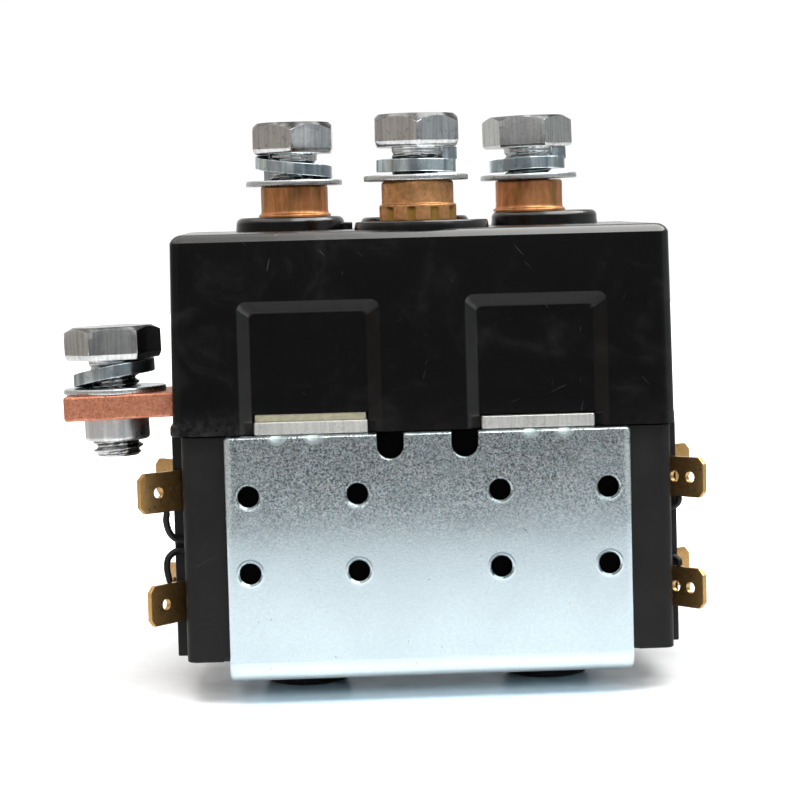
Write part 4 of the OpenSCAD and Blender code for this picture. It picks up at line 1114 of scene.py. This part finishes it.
def hexagon(af, rc, along=10, seg=4):
    corner = [(af / math.sqrt(3) * math.cos(math.radians(60 * k)), af / math.sqrt(3) * math.sin(math.radians(60 * k))) for k in range(6)]
    pts = rounded(corner, rc, seg)
    out = []
    for i, p in enumerate(pts):
        q = pts[(i + 1) % len(pts)]
        out.append(p)
        d = math.dist(p, q)
        if d > 1.5:
            out += [(p[0] + (q[0] - p[0]) * k / along, p[1] + (q[1] - p[1]) * k / along) for k in range(1, along)]
    return np.array(out)


def hex_screw(name, turn, length, r_top, slope, band=0.95, lean=0.30, af=13.0):
    """Hexagon screw with the head's underside at 0: chamfered top, bevelled foot of the head, helical thread."""
    h = 5.2
    p = hexagon(af, 0.28)
    rad = np.linalg.norm(p, axis=1)
    th = np.arctan2(p[:, 1], p[:, 0])
    c, s = np.cos(th), np.sin(th)
    tan = math.tan(math.radians(slope))
    zc = h - (rad - r_top) * tan

    def circ(r, z):
        return np.stack([r * c, r * s, np.full(len(th), float(z))], 1)

    def hexa(shrink, z):
        k = (rad - shrink * rad / rad.max()) / rad
        z = np.broadcast_to(z, (len(th),))
        return np.stack([p[:, 0] * k, p[:, 1] * k, z], 1)

    def along(a):
        """Points on the chamfer, a from 0 at the top circle to 1 at the flats."""
        r = r_top + (rad - r_top) * a
        return np.stack([r * c, r * s, h - (r - r_top) * tan], 1)

    rows = [[(0, 0, h - 0.28)], circ(2.2, h - 0.28), circ(4.2, h - 0.24), circ(r_top - 0.75, h - 0.08), circ(r_top - 0.3, h - 0.01)]
    rows += [along(0.05), along(0.3), along(0.6), along(0.88), along(0.97)]
    rows += [hexa(0.0, zc - 0.10), hexa(0, (zc - 0.1) * 0.72 + (band + 0.05) * 0.28), hexa(0, (zc - 0.1) * 0.35 + (band + 0.05) * 0.65)]
    rows += [hexa(0.0, band + 0.05), hexa(0.03, band - 0.05), hexa(lean * 0.55, band * 0.5), hexa(lean, 0.14), hexa(lean + 0.12, 0.03), hexa(lean + 0.4, 0.0)]
    rows += [circ(5.6, 0.0), circ(4.3, 0.0), circ(4.0, -0.08), circ(3.92, -0.3)]
    zs = np.arange(-0.4, -length + 0.001, -0.1)
    pitch, major, minor = 1.25, 3.93, 3.30
    for z in zs:
        x = (z / pitch - th / TAU) % 1.0
        f = np.interp(x, [0, 0.12, 0.44, 0.66, 1.0], [1, 1, 0, 0, 1])
        fade = min(1.0, max(0.0, (-z - 0.6) / 1.3))
        r = major - (major - minor) * (1 - f) * fade
        r = np.minimum(r, 3.0 + (z + length) * 1.05)
        rows.append(np.stack([r * c, r * s, np.full(len(th), z)], 1))
    rows += [circ(2.2, -length - 0.0), [(0, 0, -length)]]
    v, f = rows_mesh(rows)
    ob = raw(name, v, f)
    return move(ob, Matrix.Rotation(math.radians(turn), 4, "Z"))


HEADS = [  # name, node, turn, top circle, chamfer slope, height of the bright foot band, its lean
    ("screw_side", "side_terminal_bolt", 3.9, 6.15, 30, 0.90, 0.34),
    ("screw_middle", "middle_terminal_bolt", -91.35, 5.95, 44, 0.90, 0.34),
    ("screw_left", "left_terminal_bolt", -92.7, 5.95, 42, 0.85, 0.30),
    ("screw_right", "right_terminal_bolt", -11.5, 6.10, 33, 0.55, 0.22),
]
for i, (name, node, turn, r_top, slope, band, lean) in enumerate(HEADS):
    ob = hex_screw(name, turn, 15.3, r_top, slope, band, lean, 13.2 if i == 0 else 13.0)
    move(ob, mm(at_terminal(i) @ Matrix.Translation((0, 0, WASHER_T + LOCK_H))))
    piece(ob, M_BOLT, "zinc_hardware", node, sharp=32)


def split_washer(name, start, hand, gap, rise):
    """Rectangular ring cut once; rise lists (share of the turn, height of its underside)."""
    ri, ro, t, e = 4.12, 6.4, 2.0, 0.16
    n = 96
    u = np.linspace(0, 1, n + 1)
    us, zs = np.array(rise).T
    # smooth the heights between the given points
    z = np.interp(u, us, zs)
    for _ in range(60):
        z[1:-1] = 0.25 * z[:-2] + 0.5 * z[1:-1] + 0.25 * z[2:]
    sec = rounded([(ri, 0), (ro, 0), (ro, t), (ri, t)], e, 3)
    rows = []
    for k in range(n + 1):
        a = math.radians(start + hand * (gap / 2 + u[k] * (360 - gap)))
        rows.append([(r * math.cos(a), r * math.sin(a), z[k] + q) for r, q in sec])
    verts, faces = rows_mesh(rows)
    m = len(sec)
    faces.append(tuple(range(m)))
    faces.append(tuple(range(len(verts) - m, len(verts))))
    return raw(name, verts, faces)


LOCKS = [
    (105, 1, 10, [(0, 0), (0.20, 0.03), (0.33, 0.75), (0.47, 1.80), (0.60, 2.12), (0.74, 2.28), (1, 2.34)]),
    (-8, -1, 26, [(0, 0.28), (0.2, 0.50), (0.47, 0.45), (0.62, 0.7), (0.8, 1.5), (1, 2.32)]),
    (146, -1, 10, [(0, 0), (0.157, 0.0), (0.414, 0.15), (0.67, 0.9), (0.82, 1.7), (0.93, 2.28), (1, 2.34)]),
    (-11, -1, 26, [(0, 0.66), (0.19, 0.85), (0.47, 0.32), (0.62, 0.6), (0.8, 1.5), (1, 2.34)]),
]
locks = []
for i, (start, hand, gap, rise) in enumerate(LOCKS):
    locks.append(move(split_washer("lock", start, hand, gap, rise), mm(at_terminal(i) @ Matrix.Translation((0, 0, WASHER_T)))))
piece(join("split_washer_set", locks), M_LOCK, "spring_washer_zinc", "spring_washers")

flats = []
for i in range(4):
    prof = [(4.2, 0.12)] + [(4.3, 0.0), (7.75, 0.0)] + arc2(7.82, 0.18, 0.18, -90, 0, 3) + arc2(7.72, 0.62, 0.28, 0, 90, 4) + [(4.32, 0.9), (4.2, 0.78)]
    wide = 1.025 if i == 1 else 1.0
    prof = [(r * wide if r > 5 else r, z) for r, z in prof]
    flats.append(move(revolve("flat", prof, 96, ring=True), mm(at_terminal(i) @ Matrix.Translation((-0.2 if i == 1 else 0, 0, 0)))))
piece(join("flat_washer_set", flats), M_WASHER, "zinc_washer", "flat_washers")

# ---------------------------------------------------------------------------
# spade terminals: a flat blank with tips and holes, bent at both ends
# ---------------------------------------------------------------------------


def spade(name, s, z0, bend_front, bend_rear):
    """s is the side. The blank lies along u from the front tip to the rear tip. The longer blade has one hole."""
    base, r = 17.8, 0.9
    lf, lr = (LONG, SHORT) if s < 0 else (SHORT, LONG)
    tf, tr = math.radians(90 - bend_front), math.radians(90 - bend_rear)
    # lengths of blades and base between the bends' arcs
    a, b = lf - r * math.tan(tf / 2), lr - r * math.tan(tr / 2)
    mid = base - r * math.tan(tf / 2) - r * math.tan(tr / 2)
    u1, u2 = a, a + r * tf
    u3 = u2 + mid
    u4 = u3 + r * tr
    u5 = u4 + b
    hw = 3.15
    steps = [u1 + (u2 - u1) * k / 5 for k in range(6)] + [u3 + (u4 - u3) * k / 5 for k in range(6)]
    pts = [(0.0, -hw + 1.0), (1.0, -hw)] + [(u, -hw) for u in steps] + [(u5 - 1.0, -hw), (u5, -hw + 1.0), (u5, hw - 1.0), (u5 - 1.0, hw)]
    pts += [(u, hw) for u in reversed(steps)] + [(1.0, hw), (0.0, hw - 1.0)]
    k = len(steps)
    rad = [0.25, 0.3] + [0] * k + [0.3, 0.25, 0.25, 0.3] + [0] * k + [0.3, 0.25]
    loops = [dict(pts=rounded(pts, rad, 3), b0=0.13, b1=0.13, seg=2)]
    one, two = (4.6,), (1.4, 4.6)
    holes = [lf - d for d in (one if s < 0 else two)] + [u5 - (lr - d) for d in (two if s < 0 else one)]
    for u in holes:
        loops.append(dict(pts=circle(u, 0, 0.86, 28), b0=0.06, b1=0.06, seg=1))
    lines = [((u, -hw + 0.3), (u, hw - 0.3)) for u in steps]
    v, f = slab(loops, -0.4, 0.4, lines=lines)
    # bend: path in the plane (x outwards, y), starting at the front tip
    d0 = math.radians(bend_front)
    tip = np.array([38.5 + lf * math.cos(d0), 9.1 - lf * math.sin(d0)])
    out = np.zeros_like(v)
    for i, (u, zz, w) in enumerate(v):
        h = math.pi - d0  # heading from the tip towards the bend
        p = tip.copy()
        for length, turn in ((u1, 0.0), (u2 - u1, -tf), (mid, 0.0), (u4 - u3, -tr), (u5 - u4 + 1, 0.0)):
            step = min(u, length)
            if turn == 0.0:
                p = p + step * np.array([math.cos(h), math.sin(h)])
            else:
                q = turn * step / length
                # turning right about a centre on the right
                n = np.array([math.sin(h), -math.cos(h)])
                cc = p + n * r
                rel = p - cc
                cq, sq = math.cos(q), math.sin(q)
                p = cc + np.array([rel[0] * cq - rel[1] * sq, rel[0] * sq + rel[1] * cq])
                h += q
            u -= step
            if u <= 0:
                break
        nrm = np.array([math.sin(h), -math.cos(h)])
        p = p + nrm * w
        out[i] = (s * p[0], p[1], z0 + zz)
    return raw(name, out, f)


LONG, SHORT = 8.25, 7.4
for name, node, s, z0, bf, br in (
    ("blades_left_upper", "left_upper_spades", -1, 6.45, 41, 50.6),
    ("blades_left_lower", "left_lower_spades", -1, -10.95, 52.6, 64.7),
    ("blades_right_upper", "right_upper_spades", 1, 6.45, 50, 38.4),
    ("blades_right_lower", "right_lower_spades", 1, -10.95, 53.5, 41.6),
):
    piece(spade(name, s, z0, bf, br), M_BLADE, "brass_blade", node, sharp=40)

# ---------------------------------------------------------------------------
# coil leads
# ---------------------------------------------------------------------------
LEADS = {
    "left": [[(-35.6, 8.3, -1.45), (-37.8, 8.3, -1.45), (-39.3, 8.1, -1.1), (-40.3, 7.6, 0), (-40.75, 7.2, 1.8), (-40.6, 7.1, 3.1)],
             [(-35.6, 8.3, -2.95), (-37.8, 8.3, -2.95), (-39.4, 8.1, -3.05), (-40.6, 7.6, -4), (-40.85, 7.2, -5.6), (-40.5, 6.9, -7.55)]],
    "right": [[(35.6, 8.3, 1.6), (37.8, 8.3, 1.6), (38.9, 8.1, 1.7), (39.6, 7.9, 2.3), (39.75, 7.7, 3.05)],
              [(35.6, 8.3, -6.4), (37.8, 8.3, -6.4), (38.9, 8.1, -6.45), (39.5, 7.75, -6.9), (39.6, 7.62, -7.5)]],
}
for side, paths in LEADS.items():
    obs = [tube("lead", spline(p, 10), 0.52, 18) for p in paths]
    piece(join("lead_ends_" + side, obs), M_LEAD, "lead_black", side + "_coil_leads", sharp=60)

# ---------------------------------------------------------------------------
# materials of the inner pieces, which keep their CAD shapes
# ---------------------------------------------------------------------------
INNER = {"contact_bed": M_BED, "fixed_contact_tips": M_TIP, "upper_contact_bar": M_TIP_INNER}
for side in ("left", "right"):
    INNER.update({
        side + "_bobbin": M_NYLON, side + "_winding": M_WINDING, side + "_fixed_core": M_CORE,
        side + "_plunger": M_CORE, side + "_push_rod": M_ROD, side + "_spring_seat": M_BROWN,
        side + "_bridge_bush": M_BROWN, side + "_contact_bridge": M_TIP_INNER, side + "_bridge_tips": M_TIP,
        side + "_contact_bracket": M_TIP_INNER})
for n, m in INNER.items():
    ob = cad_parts[n]
    ob.data.materials.clear()
    ob.data.materials.append(m)


def spring(node, x, r, d, turns):
    """A coil spring with closed ends in the CAD node's place."""
    z = [v.co.z * 1000 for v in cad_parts[node].data.vertices]
    z0, z1, seg = min(z), max(z), 28
    h, e, pts = z1 - z0 - d, 1.07 * d, []
    for i in range(turns * seg + 1):
        q = i / seg
        rise = e * q if q < 1 else h - e * (turns - q) if q > turns - 1 else e + (h - 2 * e) * (q - 1) / (turns - 2)
        pts.append((x + r * math.cos(TAU * q), POLE_Y + r * math.sin(TAU * q), z0 + d / 2 + rise))
    ob = tube(node + "_wire", pts, d / 2, 12)
    ob.data.materials.clear()
    ob.data.materials.append(M_SPRING)
    for f in ob.data.polygons:
        f.use_smooth = True
        f.material_index = 0
    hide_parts(node)
    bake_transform(ob)


for side, x in zip(("left", "right"), POLES):
    spring(side + "_return_spring", x, 2.4, 0.7, 9)
    spring(side + "_lower_contact_spring", x, 4.1, 0.8, 3)
    spring(side + "_upper_contact_spring", x, 3.6, 0.8, 5)

# ---------------------------------------------------------------------------
# floor, lights, camera
# ---------------------------------------------------------------------------
FLOOR_Z = FOOT_BOT * 0.001


def floor():
    n, rows = 96, []
    for r in (0.0, 0.2, 0.5, 1.0, 1.6):
        if r == 0:
            rows.append([(0, 0, 0)])
        else:
            rows.append([(1000 * r * math.cos(TAU * k / n), 1000 * r * math.sin(TAU * k / n), 0) for k in range(n)])
    v, f = rows_mesh(rows)
    me = bpy.data.meshes.new("floor")
    me.from_pydata([(x * 0.001, y * 0.001 + 0.3, FLOOR_Z) for x, y, _ in v], [], f)
    ob = bpy.data.objects.new("floor", me)
    bpy.context.scene.collection.objects.link(ob)
    m = Mat("pale_floor", (0.88, 0.885, 0.89), 0.0, 0.32)
    m.b.inputs["Specular IOR Level"].default_value = 0.35
    fine = m.noise(0.4, 3.0, 0.5)
    sep = m.t.nodes.new("ShaderNodeSeparateXYZ")
    m.t.links.new(m.obj, sep.inputs[0])
    seen = m.t.nodes.new("ShaderNodeLightPath").outputs["Is Camera Ray"]
    plain = m.mix(m.ramp(fine, 0.3, 0.7), (0.88, 0.885, 0.89), (0.86, 0.865, 0.87))
    # the bright metal mirrors the floor, which falls into shade towards the camera and to both sides
    shade = m.ramp(sep.outputs["Y"], -0.40, -0.04)
    dim = m.mix(shade, (0.016, 0.014, 0.013), (0.60, 0.60, 0.60))
    wide = m.ramp(m.math("ABSOLUTE", sep.outputs["X"]), 0.18, 0.50)
    aside = m.mix(m.ramp(sep.outputs["X"], -0.1, 0.1), (0.30, 0.275, 0.245), (0.17, 0.18, 0.185))
    dim = m.mix(wide, dim, aside)
    # in the object's own shade the zinc above tints it
    shut = m.math("MULTIPLY", m.ramp(m.math("ABSOLUTE", sep.outputs["X"]), 0.024, 0.036, 1.0, 0.0), m.ramp(m.math("ABSOLUTE", m.math("SUBTRACT", sep.outputs["Y"], 0.02)), 0.016, 0.028, 1.0, 0.0))
    plain = m.mix(m.math("MULTIPLY", shut, 0.9), plain, (0.66, 0.86, 0.98))
    col = m.mix(seen, dim, plain)
    # behind the object the sweep is as bright as the backdrop
    back = m.math("MULTIPLY", m.ramp(sep.outputs["Y"], 0.06, 0.22), seen)
    me.materials.append(m.set(Base_Color=col, Roughness=m.ramp(fine, 0.3, 0.7, 0.28, 0.36), Emission_Color=(1.0, 1.0, 1.0), Emission_Strength=back))
    return ob


floor()


def area(name, loc, target, size, power, colour=(1, 1, 1), size_y=None, spread=180):
    li = bpy.data.lights.new(name, "AREA")
    li.shape = "RECTANGLE"
    li.size, li.size_y = size, size_y or size
    li.energy = power
    li.color = colour
    li.spread = math.radians(spread)
    ob = bpy.data.objects.new(name, li)
    bpy.context.scene.collection.objects.link(ob)
    ob.location = loc
    ob.rotation_euler = (Vector(target) - Vector(loc)).to_track_quat("-Z", "Y").to_euler()
    return ob


def radiance(value, *size):
    """Watts of an area light with this brightness."""
    return value * math.pi * size[0] * size[-1]


# one box lights, two long boxes over the object are there for the gloss of its edges
top = area("top_soft", (0.02, -0.28, 0.60), (0.0, 0.0, 0.0), 0.68, radiance(9.0, 0.68, 0.46), (1.0, 1.0, 1.0), size_y=0.46)
top.visible_glossy = False
for name, x0, x1, value in (("gloss_right", 0.02, 0.80, 4.6), ("gloss_left", -0.75, 0.02, 0.95)):
    box = area(name, ((x0 + x1) / 2, -0.16, 0.60), ((x0 + x1) / 2, -0.16, 0.0), x1 - x0, radiance(value, x1 - x0, 1.16), (1.0, 0.99, 0.97), size_y=1.16)
    box.visible_diffuse = False
fill = area("front_fill", (-0.05, -1.60, 0.72), (0.0, 0.02, -0.02), 0.8, radiance(18.0, 0.8, 0.5), (1.0, 1.0, 1.0), size_y=0.5)
fill.visible_glossy = False

world = bpy.data.worlds.new("studio")
bpy.context.scene.world = world
world.use_nodes = True
wt = world.node_tree
wt.nodes.clear()


def wn(kind, **props):
    n = wt.nodes.new(kind)
    for k, v in props.items():
        setattr(n, k, v)
    return n


def w_ramp(fac, stops, lo=-1.0, hi=1.0):
    """A colour ramp over a range; stops are (value, colour)."""
    mr = wn("ShaderNodeMapRange")
    mr.inputs["From Min"].default_value, mr.inputs["From Max"].default_value = lo, hi
    wt.links.new(fac, mr.inputs["Value"])
    r = wn("ShaderNodeValToRGB")
    wt.links.new(mr.outputs[0], r.inputs[0])
    e = r.color_ramp.elements
    stops = sorted(stops)
    for q, (v, c) in ((e[0], stops[0]), (e[-1], stops[-1])):
        q.position, q.color = (v - lo) / (hi - lo), (*c, 1)
    for v, c in stops[1:-1]:
        e.new((v - lo) / (hi - lo)).color = (*c, 1)
    return r.outputs[0]


w_out = wn("ShaderNodeOutputWorld")
w_bg, w_cam, w_mix, w_path = wn("ShaderNodeBackground"), wn("ShaderNodeBackground"), wn("ShaderNodeMixShader"), wn("ShaderNodeLightPath")
w_sep = wn("ShaderNodeSeparateXYZ")
wt.links.new(wn("ShaderNodeTexCoord").outputs["Generated"], w_sep.inputs[0])
# from the dark camera side (first) over the two sides to the white backdrop (second); warm on the left, cool on the right
left = w_ramp(w_sep.outputs["Y"], [(-1.0, (0.50, 0.495, 0.49)), (-0.93, (0.47, 0.45, 0.44)), (-0.4, (0.38, 0.335, 0.30)), (0.38, (0.52, 0.485, 0.45)), (0.76, (0.60, 0.59, 0.56)), (0.90, (0.75, 0.75, 0.74)), (0.97, (1.0, 1.0, 1.0)), (1.0, (1.0, 1.0, 1.0))])
right = w_ramp(w_sep.outputs["Y"], [(-1.0, (0.48, 0.485, 0.49)), (-0.93, (0.42, 0.43, 0.44)), (-0.55, (0.36, 0.385, 0.40)), (0.22, (0.34, 0.355, 0.345)), (0.76, (0.42, 0.42, 0.42)), (0.90, (0.65, 0.65, 0.65)), (0.97, (1.0, 1.0, 1.0)), (1.0, (1.0, 1.0, 1.0))])
w_side = wn("ShaderNodeMapRange", interpolation_type="SMOOTHSTEP")
w_side.inputs["From Min"].default_value, w_side.inputs["From Max"].default_value = -0.35, 0.35
wt.links.new(w_sep.outputs["X"], w_side.inputs["Value"])
w_col = wn("ShaderNodeMix", data_type="RGBA")
wt.links.new(w_side.outputs[0], w_col.inputs[0])
wt.links.new(left, w_col.inputs[6])
wt.links.new(right, w_col.inputs[7])
wt.links.new(w_col.outputs[2], w_bg.inputs["Color"])
# the room behind the camera is dark up to the horizon
w_low = wn("ShaderNodeMapRange", interpolation_type="SMOOTHSTEP")
for k, v in zip(("From Min", "From Max", "To Min", "To Max"), (-0.015, 0.035, 0.22, 1.0)):
    w_low.inputs[k].default_value = v
wt.links.new(w_sep.outputs["Z"], w_low.inputs["Value"])
w_front = wn("ShaderNodeMapRange", interpolation_type="SMOOTHSTEP")
for k, v in zip(("From Min", "From Max"), (-0.985, -0.86)):
    w_front.inputs[k].default_value = v
wt.links.new(w_sep.outputs["Y"], w_front.inputs["Value"])
w_str = wn("ShaderNodeMath", operation="MAXIMUM")
wt.links.new(w_low.outputs[0], w_str.inputs[0])
wt.links.new(w_front.outputs[0], w_str.inputs[1])
wt.links.new(w_str.outputs[0], w_bg.inputs["Strength"])
w_cam.inputs["Color"].default_value = (1, 1, 1, 1)
w_cam.inputs["Strength"].default_value = 1.05
wt.links.new(w_path.outputs["Is Camera Ray"], w_mix.inputs[0])
wt.links.new(w_bg.outputs[0], w_mix.inputs[1])
wt.links.new(w_cam.outputs[0], w_mix.inputs[2])
wt.links.new(w_mix.outputs[0], w_out.inputs[0])

scene = bpy.context.scene
scene.view_settings.view_transform = "Standard"
scene.view_settings.look = "None"
scene.view_settings.exposure = 0.0
scene.view_settings.gamma = 1.0

cam = bpy.data.cameras.new("camera")
cam_ob = bpy.data.objects.new("camera", cam)
scene.collection.objects.link(cam_ob)
scene.camera = cam_ob
cam.sensor_width = 36.0
cam.lens = 117.8
cam.clip_start, cam.clip_end = 0.01, 20
yaw, pitch, roll = math.radians(2.35), math.radians(3.85), math.radians(-1.49)
fw = Vector((math.sin(yaw) * math.cos(pitch), math.cos(yaw) * math.cos(pitch), -math.sin(pitch)))
rt = Vector((math.cos(yaw), -math.sin(yaw), 0))
up = rt.cross(fw)
r2 = rt * math.cos(roll) + up * math.sin(roll)
u2 = -rt * math.sin(roll) + up * math.cos(roll)
rot = Matrix((r2, u2, -fw)).transposed().to_4x4()
cam_ob.matrix_world = Matrix.Translation((-0.0205, -0.400, 0.04715)) @ rot

bpy.context.view_layer.update()
